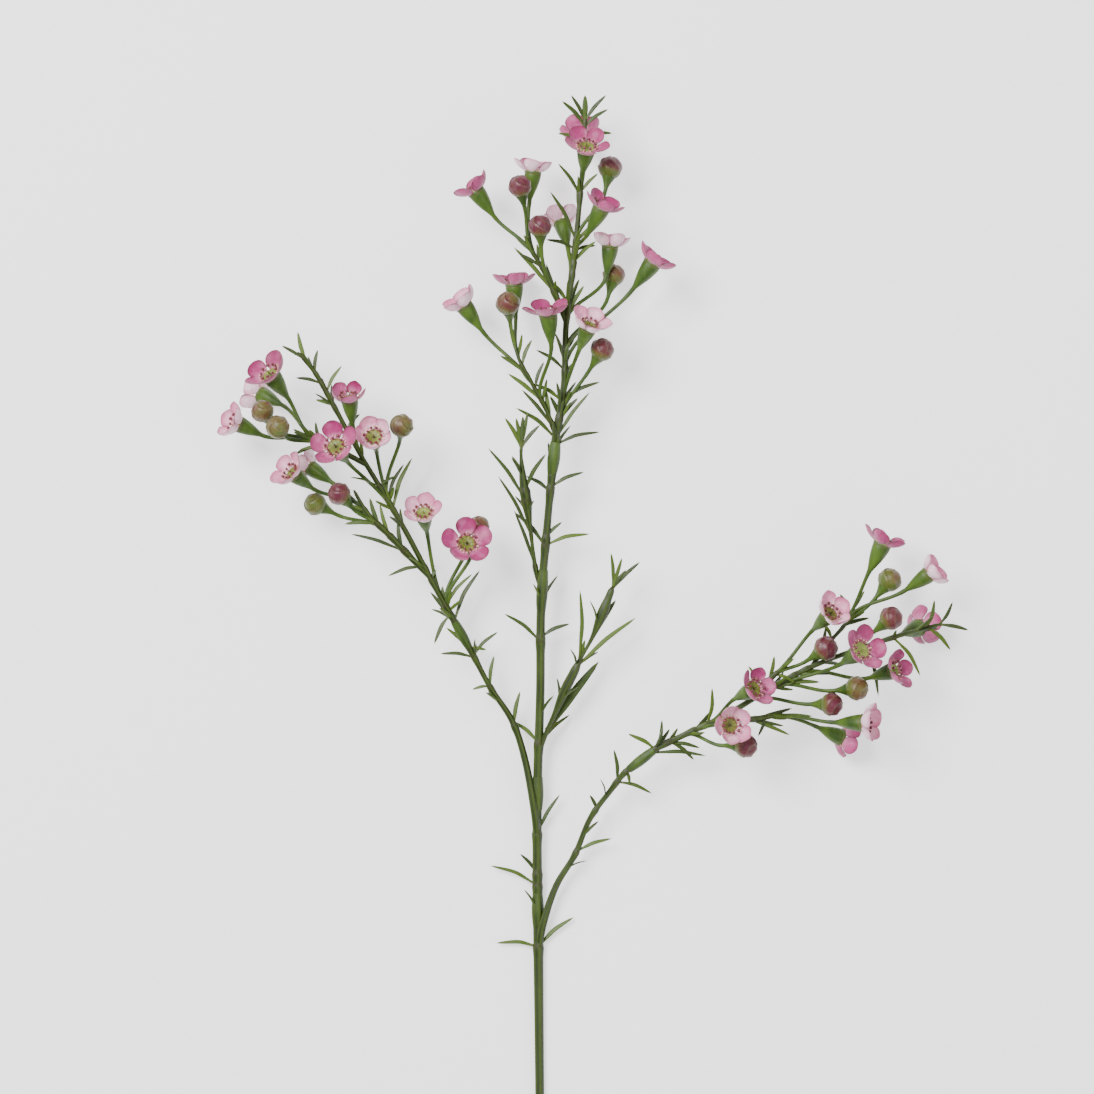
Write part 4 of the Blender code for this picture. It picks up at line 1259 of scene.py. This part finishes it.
@dataclass
class StamenRing(GrowthTree):
    """A ring of stamens round the disc of each bloom, each leaning and turned a little differently."""

    scales: Place = (1.0, 1.4)

    def grow(self, geometry: Socket) -> Socket:
        """Places a ring on each bloom, and then a stamen on each point of the ring.

        Args:
            geometry: The guide's points.

        Returns:
            The stamens.
        """
        graph, given = self.graph, self.given
        place = graph.geo("InputPosition")
        heads = graph.geo("StoreNamedAttribute", {"Geometry": geometry, "Name": "centre", "Value": place},
                          data_type="FLOAT_VECTOR")
        facing = graph.named("facing", "FLOAT_VECTOR")
        ring = graph.geo("MeshCircle", {"Vertices": given["Count"], "Radius": given["Radius"]})
        rings = graph.geo("InstanceOnPoints", {
            "Points": heads, "Instance": ring, "Rotation": self.facing(facing), "Scale": graph.named("size"),
        })
        rings = graph.geo("RealizeInstances", {0: rings})
        reach = graph.vector("SUBTRACT", {0: place, 1: graph.named("centre", "FLOAT_VECTOR")})
        out = graph.vector("NORMALIZE", {0: reach})
        lean = self.drawn(given["Lean least"], given["Lean most"])
        axis = graph.vector("ADD", {0: facing, 1: graph.vector("SCALE", {0: out, "Scale": lean})})
        turned = graph.add("FunctionNodeAxesToRotation", {"Primary Axis": axis, "Secondary Axis": out},
                           primary_axis="Z", secondary_axis="X").outputs[0]
        scale = self.drawn(*self.scales)
        return graph.geo("InstanceOnPoints", {
            "Points": rings, "Instance": graph.solid(given["Stamen"]), "Rotation": turned, "Scale": scale,
        })

    def drawn(self, least: object, most: object) -> Socket:
        """A random number for each point, from the tree's seed."""
        inputs = {2: least, 3: most, "Seed": self.given["Seed"]}
        return self.graph.add("FunctionNodeRandomValue", inputs).outputs[1]


def dress(piece: Object, slot: str, *nodes: str) -> None:
    """Hands a finished piece to the frame and logs it.

    Args:
        piece: The piece, at the origin.
        slot: The record's material slot. Not used.
        nodes: The solids that it stands for.
    """
    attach(piece, BODY)
    if nodes:
        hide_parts(*nodes)
    LOG.info("%s: %d faces", piece.name, len(piece.data.polygons))


def angles(count: int) -> list[float]:
    """The angles of points spaced evenly round a ring."""
    return [math.tau * i / count for i in range(count)]


def ring_point(radius: float, around: float, up: float) -> Vector:
    """The point at an angle round a ring."""
    return Vector((radius * math.cos(around), radius * math.sin(around), up))


@dataclass
class Greenery:
    """The stems, stalks and needle leaves."""

    layout: Layout
    stem_step: float = 1.25
    tip_taper: Place = (0.8, 0.35)
    swell: float = 0.4
    swell_full_radius: float = 1.5
    swell_above: float = 0.9
    swell_below: float = 3.5
    scar_dark: float = 0.6
    scar_place: float = 0.7
    scar_width: float = 0.7
    sheath_shape: tuple[float, ...] = (0.72, 0.82, 0.9, 0.96, 1.0, 1.0, 0.97, 0.92, 0.86, 0.8)
    sheath_light: Place = (0.7, 0.6)
    pedicel_radius: float = 0.95
    pedicel_spans: int = 14
    pedicel_green: float = 0.55
    neck_green: float = 0.35
    cup_blend: int = 4
    rim_blush: float = 0.5
    rim_start: float = 0.99
    cup_flare: Place = (1.05, 1.2)
    cup_profile: tuple[Place, ...] = ((0, 1.25), (0.1, 1.65), (0.25, 2.3), (0.45, 3.2), (0.65, 3.9),
                                      (0.85, 4.4), (0.97, 4.6), (1.0, 4.5))
    neck_flare: tuple[float] = (1.1,)
    neck_profile: tuple[Place, ...] = ((0, 1.045), (0.3, 1.15), (0.6, 1.65), (0.85, 2.25), (1.0, 2.7),
                                       (1.13, 3.1), (1.24, 3.35))
    leaf_half: float = 1.05
    leaf_halves: Place = (0.9, 1.15)
    short_half: float = 0.7
    half_growth: float = 50.0
    leaf_section: tuple[Place, ...] = ((-1, 0.05), (-0.55, 0.22), (0, 0.08), (0.55, 0.22), (1, 0.05),
                                       (0.5, -0.42), (0, -0.68), (-0.5, -0.42))
    bract_shape: tuple[Place, ...] = ((0, 0), (0.3, 0.3), (0.62, 0), (1, 0))
    bract_cant: float = 0.3
    bract_lengths: Place = (8.0, 14.0)
    bract_lean: Place = (0.1, 0.5)
    bract_spread: float = 0.45
    bract_half: float = 0.85
    bract_tones: Place = (0.6, 1.0)
    bark: Material = field(init=False)
    leaf: Material = field(init=False)
    tube: RidgedTube = field(init=False)
    needles: NeedleLeaves = field(init=False)

    def __post_init__(self) -> None:
        """Makes the trees and the finishes."""
        self.bark = StemFinish("waxy_green_stem", roughness=0.44, specular=0.25, bump=0.35).material
        self.leaf = LeafFinish("needle_leaf_green", roughness=0.46, specular=0.3, bump=0.25).material
        self.tube = RidgedTube("ridged_tube", {
            "Sides": ("Int", 24), "Ribs": ("Int", 5), "Rib depth": ("Float", 0.06),
        })
        self.needles = NeedleLeaves("needle_leaves", {"Rows": ("Int", 12), "Section": ("Object", None)})

    def trace(self, draft: Draft, line: list[Vector], radii: list[float], cup: Share,
              blush: Share = lambda t: 0.0, scar: Share = lambda t: 0.0) -> None:
        """Adds one line of a tube to a guide.

        Args:
            draft: The guide.
            line: The line's points in the view.
            radii: The tube's radius at each.
            cup: How much of the cup's lighter green shows at a share of the line.
            blush: How much pink shows there.
            scar: How much of a leaf scar's dark brown shows there.
        """
        spots = []
        for i, (place, radius) in enumerate(zip(line, radii)):
            t = i / (len(line) - 1)
            spots.append(draft.point(self.layout.placed(place), radius=radius * MM, cup=cup(t),
                                     blush=blush(t), scar=scar(t)))
        draft.chain(spots)

    def marks(self, axis: str, line: list[Vector]) -> tuple[list[float], list[float]]:
        """The swellings and scars that the leaves leave on an axis.

        Args:
            axis: The axis's name.
            line: Its points.

        Returns:
            How much each point swells, and how dark its scar is.
        """
        swells, scars = [0.0] * len(line), [0.0] * len(line)
        for leaf in LEAVES[axis]:
            root, way = self.layout.nearest(axis, *leaf[:2])
            for i, p in enumerate(line):
                past = (p - root).dot(way)
                width = self.swell_above if past > 0 else self.swell_below
                swells[i] = max(swells[i], math.exp(-((past / width) ** 2)))
                off = (past - self.scar_place) / self.scar_width
                scars[i] = max(scars[i], self.scar_dark * math.exp(-(off**2)))
        return swells, scars

    def stem(self, node: str) -> Object:
        """The axis of a stem with its twigs and sheaths.

        Args:
            node: The stem's name.

        Returns:
            The finished piece.
        """
        draft = Draft()
        for axis in self.layout.members(node):
            knots = list(STEMS[axis])
            if axis in ROOTS:
                knots.insert(0, (*self.layout.axis_at("main_stem", ROOTS[axis]), knots[0][3]))
            fine = smooth_line(knots, self.stem_step)
            line = [Vector(p[:3]) for p in fine]
            swells, scars = self.marks(axis, line)
            radii = [p[3] + self.swell * swell * min(1, p[3] / self.swell_full_radius)
                     for p, swell in zip(fine, swells)]
            if axis != "main_stem":
                radii[-2:] = [radius * share for radius, share in zip(radii[-2:], self.tip_taper)]
            self.trace(draft, line, radii, lambda t: 0.0, scar=lambda t: scars[round(t * (len(scars) - 1))])
            for sheath in SHEATHS:
                if sheath[0] == axis:
                    self.sheath(draft, *sheath)
        return self.tube.run(draft.build(node + "_guide"), node + "_bark", Material=self.bark)

    def sheath(self, draft: Draft, axis: str, low: float, high: float, radius: float, light: float) -> None:
        """Adds a sheath, thickest in its middle, with a lip at its upper end.

        Args:
            draft: The guide of the stem.
            axis: The axis that it is on.
            low: The height where it starts.
            high: The height where it ends.
            radius: Its radius.
            light: How much of the cups' lighter green it shows.
        """
        count = len(self.sheath_shape) - 1
        line = [self.layout.axis_at(axis, low + (high - low) * i / count) for i in range(count + 1)]
        foot, gain = self.sheath_light
        self.trace(draft, line, [radius * s for s in self.sheath_shape], lambda t: light * (foot + gain * t))

    def stalks(self, node: str) -> Object | None:
        """The pedicels with the cups of the blooms and the necks of the buds, on one stem.

        Args:
            node: The stem's name.

        Returns:
            The finished piece, or None if the stem carries no bloom or bud.
        """
        draft = Draft()
        for heads, add in ((BLOOMS, self.bloom_stalk), (BUDS, self.bud_stalk)):
            for head in heads:
                if head.stem in self.layout.members(node):
                    add(draft, head)
        if not draft.points:
            return None
        return self.tube.run(draft.build(node + "_stalk_guide"), node + "_stalks", Sides=20, Rib_depth=0.035,
                             Material=self.bark)

    def stalk(self, head: Bloom | Bud, foot: Vector, seat: Vector, flare: Sequence[float],
              profile: Iterable[Place]) -> tuple[list[Vector], list[float]]:
        """A pedicel's points and radii, drawn on through a cup or a neck.

        Args:
            head: The bloom or the bud.
            foot: Where the cup or the neck starts.
            seat: Where it ends.
            flare: How much wider the last points of the pedicel are.
            profile: Shares of the way from the foot to the seat, and the radii there.

        Returns:
            The points and the radii.
        """
        line = self.layout.pedicel(head.stem, head.root, foot, head.out, self.pedicel_spans)[:-1]
        radii = [self.pedicel_radius * wide for wide in [1] * (len(line) - len(flare)) + list(flare)]
        for share, radius in profile:
            line.append(foot.lerp(seat, share))
            radii.append(radius)
        return line, radii

    def bloom_stalk(self, draft: Draft, bloom: Bloom) -> None:
        """Adds a pedicel that widens into the bloom's cup.

        Args:
            draft: The guide of the stem's stalks.
            bloom: The bloom.
        """
        layout = self.layout
        centre = Vector(bloom.centre)
        foot = centre - bloom.out * layout.cup_length * bloom.size
        seat = centre - bloom.out * (layout.disc_height / 2 + layout.seat_gap)
        profile = [(share, radius * bloom.size) for share, radius in self.cup_profile]
        line, radii = self.stalk(bloom, foot, seat, self.cup_flare, profile)
        last, start, blend = len(line) - 1, self.pedicel_spans + 1, self.cup_blend
        self.trace(draft, line, radii,
                   lambda t: max(self.pedicel_green, min(1.0, (t * last - start + blend) / blend)),
                   lambda t: self.rim_blush if t > self.rim_start else 0.0)

    def bud_stalk(self, draft: Draft, bud: Bud) -> None:
        """Adds a pedicel that widens into the bud's neck.

        Args:
            draft: The guide of the stem's stalks.
            bud: The bud.
        """
        seat = Vector(bud.centre) - bud.out * (bud.radius + self.layout.seat_gap)
        foot = seat - bud.out * self.layout.neck_length
        line, radii = self.stalk(bud, foot, seat, self.neck_flare, self.neck_profile)
        self.trace(draft, line, radii, lambda t: self.pedicel_green + self.neck_green * t)

    def section(self) -> Object:
        """The outline across a leaf: flat and grooved above, keeled below."""
        count = len(self.leaf_section)
        return Draft([Vector((y, x, 0)) for x, y in self.leaf_section],
                     edges=[(i, (i + 1) % count) for i in range(count)]).build("leaf_section")

    def leaves(self, node: str) -> Object:
        """The needle leaves of one stem.

        Args:
            node: The stem's name.

        Returns:
            The finished piece.
        """
        draw = random.Random(node)
        draft = Draft()
        for leaf in self.layout.leaves[node]:
            length = (leaf.points[-1] - leaf.points[0]).length
            half = leaf.half or self.leaf_half * min(1.0, self.short_half + length / self.half_growth)
            half *= MM * draw.uniform(*self.leaf_halves)
            tone = draw.random()
            draft.chain([draft.point(self.layout.placed(p), half=half, tone=tone, face=leaf.face)
                         for p in leaf.points])
        for head in (h for h in [*BLOOMS, *BUDS] if h.stem in self.layout.members(node)):
            self.bract(draft, head, draw)
        section = self.section()
        piece = self.needles.run(draft.build(node + "_leaf_guide"), node + "_leaves", Section=section,
                                 Material=self.leaf)
        bpy.data.objects.remove(section)
        return piece

    def bract(self, draft: Draft, head: Bloom | Bud, draw: random.Random) -> None:
        """Adds the small leaf at the root of a pedicel, where it has room.

        Args:
            draft: The guide of the stem's leaves.
            head: The bloom or the bud on the pedicel.
            draw: The stem's random draw.
        """
        start, way = self.layout.nearest(head.stem, *head.root)
        aim = (Vector(head.centre) - start).normalized()
        lean = way * draw.uniform(*self.bract_lean)
        stray = Vector([draw.uniform(-self.bract_spread, self.bract_spread) for _ in range(3)])
        out = (aim + lean + stray).normalized()
        reach = draw.uniform(*self.bract_lengths)
        line = [start + out * reach * share + way * hug for share, hug in self.bract_shape]
        if not self.layout.is_clear(head.stem, line[1:]):
            return
        face = (aim * self.bract_cant + Vector((0, 0, 1))).normalized()
        draft.chain([draft.point(self.layout.placed(p), half=self.leaf_half * self.bract_half * MM,
                                 tone=draw.uniform(*self.bract_tones), face=face) for p in line])

    def build(self) -> None:
        """Builds and dresses every stem."""
        for node in self.layout.leaves:
            for piece in (self.stem(node), self.stalks(node), self.leaves(node)):
                if piece:
                    dress(piece, "leaf_green", node)


@dataclass(frozen=True)
class Habit:
    """What the petals of one tint have of their own: the longest point, the cupping and the finish."""

    point: float
    cup: float
    material: Material


@dataclass
class Flowers:
    """The petals, discs and stamens of the blooms."""

    layout: Layout
    petal_count: int = 5
    petal_length: float = 9.8
    petal_lengths: Place = (0.96, 1.03)
    petal_width: float = 10.4
    petal_widths: Place = (0.95, 1.04)
    petal_faces: Place = (0.14, -0.3)
    widest: float = 0.62
    foot_half: float = 0.4
    tip_share: float = 0.385
    tip_power: float = 2.2
    foot_inset: float = 0.8
    foot_lift: float = 0.15
    foot_angle: float = 12.0
    curl: float = 2.0
    opening_wave: float = 2.4
    opening_spread: float = 4.0
    spin_spread: float = 3.0
    waves: Place = (0.15, 0.4)
    cups: Place = (0.85, 1.2)
    point_start: float = 0.35
    rows: int = 13
    columns: int = 9
    disc_radius: float = 4.7
    disc_sides: int = 30
    disc_lobes: int = 10
    lobe_height: float = 0.22
    lobe_ring: float = 3.2
    lobe_width: float = 0.9
    lobe_floor: float = 0.3
    rim_floor: float = -0.5
    disc_reach: float = 4.9
    disc_profile: tuple[Place, ...] = (
        (0.0, 3.0), (0.3, 2.9), (0.38, 2.2), (0.3, 0.9), (0.45, 0.2), (1.1, 0.1), (1.9, 0.45), (2.8, 0.75),
        (3.6, 0.85), (4.2, 0.7), (4.6, 0.35), (4.75, -0.2), (4.68, -0.9), (4.45, -1.15), (3.0, -1.0),
        (0.0, -0.9),
    )
    filament: tuple[Point, ...] = ((0.0, 0.0, 0.28), (0.24, 0.6, 0.24), (0.2, 1.2, 0.19), (-0.05, 1.7, 0.16))
    filament_sides: tuple[float, ...] = (0, 1.571, 3.142, 4.712)
    filament_end: float = 0.5
    anther_start: float = 0.7
    anther_centre: Place = (-0.15, 1.9)
    anther_size: Point = (0.62, 0.78, 0.6)
    anther_lobe: float = 0.12
    anther_sides: int = 7
    anther_rows: int = 4
    bead_profile: tuple[Place, ...] = ((0.16, 0.0), (0.14, 0.7), (0.3, 0.95), (0.36, 1.2), (0.2, 1.45),
                                       (0.0, 1.5))
    bead_sides: int = 5
    bead_count: int = 20
    bead_ring: float = 4.6
    bead_leans: Place = (0.2, 0.9)
    bead_seed: int = 11
    stamen_rise: float = 0.5
    bead_rise: float = 0.35
    habits: dict[Tint, Habit] = field(init=False)
    heart: Material = field(init=False)
    stamen: Material = field(init=False)
    bead: Material = field(init=False)
    planter: HeartPlanter = field(init=False)
    ring: StamenRing = field(init=False)

    def __post_init__(self) -> None:
        """Makes the trees and the finishes."""
        shared = {"roughness": 0.5, "sheen": 0.15, "bump": 0.3}
        deep = PetalFinish("deep_pink_petal", soft=0.1, **shared)
        pale = PetalFinish("pale_pink_petal", soft=0.12, heart=srgb(250, 216, 230), body=srgb(232, 156, 190),
                           edge=srgb(178, 64, 116), under=srgb(252, 226, 238), **shared)
        self.habits = {Tint.DEEP: Habit(0.6, 1.5, deep.material), Tint.PALE: Habit(0.25, 2.2, pale.material)}
        self.heart = HeartFinish("yellow_green_disc", roughness=0.5, bump=0.5).material
        self.stamen = StamenFinish("maroon_stamen", roughness=0.35).material
        self.bead = BeadFinish("pale_bead", roughness=0.4, bump=0.1).material
        self.planter = HeartPlanter("heart_planter", {"Heart": ("Object", None)})
        self.ring = StamenRing("stamen_ring", {
            "Stamen": ("Object", None), "Count": ("Int", 10), "Radius": ("Float", 0.0041),
            "Lean least": ("Float", -0.1), "Lean most": ("Float", 0.4), "Seed": ("Int", 3),
        })

    def petal_outline(self, v: float) -> float:
        """A petal's half width at a share of its length, against its widest.

        Args:
            v: The share, from the foot to the tip.

        Returns:
            The half width, from 0 to 1.
        """
        if v < self.widest:
            return self.foot_half + (1 - self.foot_half) * math.sin(math.pi / 2 * v / self.widest) ** 0.9
        past = (v - self.widest) / self.tip_share
        return max(0.0, 1 - past**self.tip_power) ** (1 / self.tip_power)

    def add_petal(self, draft: Draft, bloom: Bloom, index: int, turned: Matrix) -> None:
        """Adds one petal: a thin spoon with a soft wave in its edge.

        Args:
            draft: The bloom's mesh.
            bloom: The bloom.
            index: Which petal it is.
            turned: The turn that faces the bloom its own way.
        """
        draw = random.Random(f"{bloom.name}{index}")
        size, habit = bloom.size, self.habits[bloom.tint]
        opening = bloom.opening + self.opening_spread * math.sin(self.opening_wave * index + bloom.turn)
        opening += draw.uniform(-self.opening_spread, self.opening_spread)
        point = draw.uniform(0, habit.point) ** 1.5
        phase, wave = draw.uniform(0, 6.3), draw.uniform(*self.waves)
        cup = habit.cup * draw.uniform(*self.cups)
        width = self.petal_width * size * draw.uniform(*self.petal_widths)
        length = self.petal_length * size * draw.uniform(*self.petal_lengths)
        spin = bloom.turn + 360 // self.petal_count * index
        spin += draw.uniform(-self.spin_spread, self.spin_spread)
        spun = Matrix.Rotation(math.radians(spin), 3, "Z")
        shade = draw.random()
        middle, before = Vector((self.disc_radius * self.foot_inset * size, 0, self.foot_lift)), 0.0
        top, under = [], []
        for row in range(self.rows):
            v = math.sin(math.pi / 2 * row / (self.rows - 1)) ** 0.9
            angle = math.radians(self.foot_angle + (opening * self.curl - self.foot_angle) * (v + before) / 2)
            middle = middle + Vector((math.cos(angle), 0, math.sin(angle))) * length * (v - before)
            before = v
            normal = Vector((-math.sin(angle), 0, math.cos(angle)))
            outline = self.petal_outline(v) * (1 - point * max(0.0, v - self.point_start) ** 1.2)
            for side, (face, thick) in enumerate(zip((top, under), self.petal_faces)):
                line = []
                # The edge rises, waves and thins out. The powers keep that near the rim.
                for column in range(self.columns):
                    u = 2 * column / (self.columns - 1) - 1
                    rise = cup * u * u * outline**1.5
                    rise += wave * abs(u) ** 3 * v * math.sin(5 * v + 3 * u + phase)
                    thin = thick * (1 - 0.75 * abs(u) ** 3) * (1 - 0.5 * v**6)
                    place = middle + Vector((0, u * outline * width / 2, 0)) + normal * (rise + thin)
                    place = Vector(bloom.centre) + turned @ (spun @ place)
                    line.append(draft.point(self.layout.placed(place), ((u + 1) / 2, v), along=v,
                                            rim=max(abs(u) ** 4, v**8), under=float(side), shade=shade))
                face.append(line)
        first = len(draft.faces)
        draft.skin([row[::-1] for row in top], False)
        draft.skin(under, False)
        for a, b in ((top[0], under[0]), (under[-1], top[-1])):
            draft.skin([a[::-1], b[::-1]], False)
        draft.skin([[r[0] for r in top], [r[0] for r in under]], False)
        draft.skin([[r[-1] for r in under], [r[-1] for r in top]], False)
        draft.faces[first:] = [f[::-1] for f in draft.faces[first:]]

    def petals(self, bloom: Bloom) -> Object:
        """The five petals of one bloom.

        Args:
            bloom: The bloom.

        Returns:
            The finished piece.
        """
        draft = Draft()
        turned = bloom.out.to_track_quat("Z", "Y").to_matrix()
        for index in range(self.petal_count):
            self.add_petal(draft, bloom, index, turned)
        piece = draft.build(bloom.name + "_petals")
        piece.data.materials.append(self.habits[bloom.tint].material)
        return piece

    def heart_shape(self) -> Object:
        """The disc: a bowl of ten low lobes round a short style, with a lip over the cup.

        Returns:
            The template.
        """
        draft = Draft()
        rows = []
        for radius, height in self.disc_profile:
            ring = []
            for around in angles(self.disc_sides):
                lobe = math.cos(self.disc_lobes * around)
                off = (radius - self.lobe_ring) / self.lobe_width
                dome = math.exp(-(off**2)) if height > self.lobe_floor else 0.0
                up = height + self.lobe_height * lobe * dome
                place = ring_point(radius, around, up) * MM
                along = min(1.0, radius / self.disc_reach) if height > self.rim_floor else 1.0
                ring.append(draft.point(place, along=along, fold=0.5 * (1 - lobe) * dome))
            rows.append(ring)
        draft.skin([r[::-1] for r in rows], True)
        return draft.build("heart_shape")

    def stamen_shape(self) -> Object:
        """One stamen: a filament that bends inwards under a two-lobed anther.

        Returns:
            The template.
        """
        draft = Draft()
        last = len(self.filament) - 1
        draft.skin([[draft.point(Vector((x + radius * math.cos(a), radius * math.sin(a), z)) * MM,
                                 along=self.filament_end * step / last) for a in self.filament_sides]
                    for step, (x, z, radius) in enumerate(self.filament)], True)
        (deep, wide, tall), foot = self.anther_size, self.anther_start
        rows = []
        for step in range(self.anther_rows + 1):
            lat = math.pi * step / self.anther_rows - math.pi / 2
            rows.append([draft.point(Vector((
                self.anther_centre[0] + deep * math.cos(lat) * math.cos(a),
                (wide + self.anther_lobe * math.cos(2 * a)) * math.cos(lat) * math.sin(a),
                self.anther_centre[1] + tall * math.sin(lat),
            )) * MM, along=foot + (1 - foot) * step / self.anther_rows) for a in angles(self.anther_sides)])
        draft.skin(rows, True)
        return draft.build("stamen_shape")

    def bead_shape(self) -> Object:
        """One sterile bead on a short thread.

        Returns:
            The template.
        """
        draft = Draft()
        tallest = self.bead_profile[-1][1]
        draft.skin([[draft.point(ring_point(radius, a, up) * MM, along=up / tallest)
                     for a in angles(self.bead_sides)] for radius, up in self.bead_profile], True)
        return draft.build("bead_shape")

    def guide(self, cluster: str, rise: float) -> Object:
        """One point for each bloom of a cluster, with the way it faces and its size.

        Args:
            cluster: The cluster's name.
            rise: How far the points stand above the discs' centres.

        Returns:
            The guide.
        """
        draft = Draft()
        for bloom in BLOOMS:
            if bloom.name.startswith(cluster):
                place = self.layout.placed(Vector(bloom.centre) + bloom.out * rise)
                draft.point(place, facing=bloom.out, size=bloom.size)
        return draft.build(cluster + "_heads")

    def build(self) -> None:
        """Builds and dresses every bloom, and the discs and stamens of each cluster."""
        for bloom in BLOOMS:
            dress(self.petals(bloom), bloom.tint.value, bloom.name)
        heart, stamen, bead = self.heart_shape(), self.stamen_shape(), self.bead_shape()
        least, most = self.bead_leans
        beads = {"Count": self.bead_count, "Radius": self.bead_ring * MM, "Lean_least": least,
                 "Lean_most": most, "Seed": self.bead_seed}
        kinds = (
            (self.planter, 0.0, "_discs", "leaf_green", self.heart, {"Heart": heart}),
            (self.ring, self.stamen_rise, "_stamens", "bud_maroon", self.stamen, {"Stamen": stamen}),
            (self.ring, self.bead_rise, "_beads", "petal_pale", self.bead, {"Stamen": bead, **beads}),
        )
        for cluster in ("crown", "left", "right"):
            for tree, rise, part, slot, material, values in kinds:
                piece = tree.run(self.guide(cluster, rise), cluster + part, Material=material, **values)
                dress(piece, slot)
        for template in (heart, stamen, bead):
            bpy.data.objects.remove(template)


@dataclass
class Buds:
    """The closed buds."""

    layout: Layout
    segments: int = 60
    rings: int = 26
    petals: int = 5
    tallness: float = 0.96
    twist: float = 1.5
    open_from: float = 0.55
    open_over: float = 0.5
    fold_height: float = 0.1
    fold_level: float = 0.35
    # The width of the painted shade in each fold, and the place and width of the painted highlight on each
    # petal edge.
    fold_shade_width: float = 0.17
    lip_highlight_place: float = 0.92
    lip_highlight_width: float = 0.1
    tip_fade: float = 2.2
    ribs: int = 15
    rib_height: float = 0.012
    foot_blush: float = 0.3
    open_blush: float = 0.8
    skin: Material = field(init=False)

    def __post_init__(self) -> None:
        """Makes the finish."""
        self.skin = BudFinish("maroon_bud", roughness=0.4, bump=0.5).material

    def bud(self, bud: Bud) -> Object:
        """One bud: a globe whose five petals overlap in a twist towards the tip.

        Args:
            bud: The bud.

        Returns:
            The finished piece.
        """
        draw = random.Random(bud.name)
        spin = draw.uniform(0, 6.3)
        turned = bud.out.to_track_quat("Z", "Y").to_matrix()
        draft = Draft()
        rows = []
        for row in range(self.rings + 1):
            polar = math.pi * (1 - row / self.rings)
            wide, up = math.sin(polar), math.cos(polar)
            opened = min(1.0, max(0.0, (up + self.open_from) / self.open_over))
            faded = min(1.0, wide * self.tip_fade)
            ring = []
            for i, around in enumerate(angles(self.segments)):
                lobe = (self.petals * (around + spin + self.twist * (1 + up)) / math.tau) % 1.0
                swell = self.fold_height * (lobe**2 - self.fold_level) * opened * faded
                rib = self.rib_height * math.cos(self.ribs * around) * (1 - opened)
                place = ring_point(wide, around, self.tallness * up)
                place = Vector(bud.centre) + turned @ (place * (bud.radius * (1 + swell + rib)))
                ring.append(draft.point(
                    self.layout.placed(place), (i / self.segments, row / self.rings),
                    # fold carries the painted shade in each crease, lip the painted highlight on each petal
                    # edge.
                    fold=max(0.0, 1 - lobe / self.fold_shade_width) * opened,
                    lip=max(0.0, 1 - abs(lobe - self.lip_highlight_place) / self.lip_highlight_width) * opened,
                    blush=bud.ripeness * (self.foot_blush + self.open_blush * opened)))
            rows.append(ring)
        draft.skin(rows, True)
        piece = draft.build(bud.name + "_skin")
        piece.data.materials.append(self.skin)
        return piece

    def build(self) -> None:
        """Builds and dresses every bud."""
        for bud in BUDS:
            dress(self.bud(bud), "bud_maroon", bud.name)


@dataclass
class Studio:
    """A pale surface, soft even light, and a camera that looks straight down."""

    layout: Layout
    aim: Place = (3.5, 273.5)
    field_width: float = 547.0
    distance: float = 3000.0
    plane_height: float = 25.0
    sensor_width: float = 36
    clip_end: float = 20
    floor_size: float = 8
    floor_colour: Colour = srgb(232, 232, 233)
    floor_glow: float = 0.9
    sky: float = 0.7
    lamps: tuple[tuple[str, Point, float, float], ...] = (
        ("key", (-1.2, 1.0, 2.2), 1.2, 112), ("fill", (1.6, -0.6, 1.9), 2.0, 22),
    )

    def floor(self) -> None:
        """A wide pale surface."""
        bpy.ops.mesh.primitive_plane_add(size=self.floor_size)
        floor = bpy.context.object
        floor.name = "pale_surface"
        material, _ = principled("pale_surface", {
            "Base Color": self.floor_colour, "Emission Color": (1, 1, 1, 1),
            "Emission Strength": self.floor_glow, "Roughness": 0.9, "Specular IOR Level": 0.1,
        })
        floor.data.materials.append(material)

    def lamp(self, name: str, place: Point, size: float, power: float) -> None:
        """Adds a soft square lamp that points at the stem's middle.

        Args:
            name: The lamp's name.
            place: Where it hangs, in metres.
            size: Its width, in metres.
            power: Its power, in watts.
        """
        light = bpy.data.lights.new(name, "AREA")
        light.size, light.energy = size, power
        lamp = linked(name, light)
        lamp.location = place
        lamp.rotation_euler = (-Vector(place)).to_track_quat("-Z", "Y").to_euler()

    def lights(self) -> None:
        """A broad key from the upper left, a fill from the right, and an even sky."""
        for lamp in self.lamps:
            self.lamp(*lamp)
        world = bpy.data.worlds.new("soft_sky")
        world.use_nodes = True
        background = world.node_tree.nodes["Background"].inputs
        background["Color"].default_value = (1, 1, 1, 1)
        background["Strength"].default_value = self.sky
        bpy.context.scene.world = world

    def camera(self) -> None:
        """The view from straight above, far enough away to look nearly flat."""
        camera = bpy.data.cameras.new("view_from_above")
        camera.sensor_width = self.sensor_width
        camera.lens = self.sensor_width * self.distance / self.field_width
        camera.clip_end = self.clip_end
        holder = linked("view_from_above", camera)
        holder.location = self.layout.placed(Vector((*self.aim, self.plane_height + self.distance)))
        bpy.context.scene.camera = holder

    def build(self) -> None:
        """Sets up the surface, the light and the camera."""
        self.floor()
        self.lights()
        self.camera()


def main() -> None:
    """Builds the stem's looks and the studio."""
    logging.basicConfig(level=logging.INFO, format="%(name)s %(message)s")
    layout = Layout()
    for part in (Greenery(layout), Flowers(layout), Buds(layout), Studio(layout)):
        part.build()
        LOG.info("built %s", type(part).__name__)


if __name__ == "__main__":
    main()
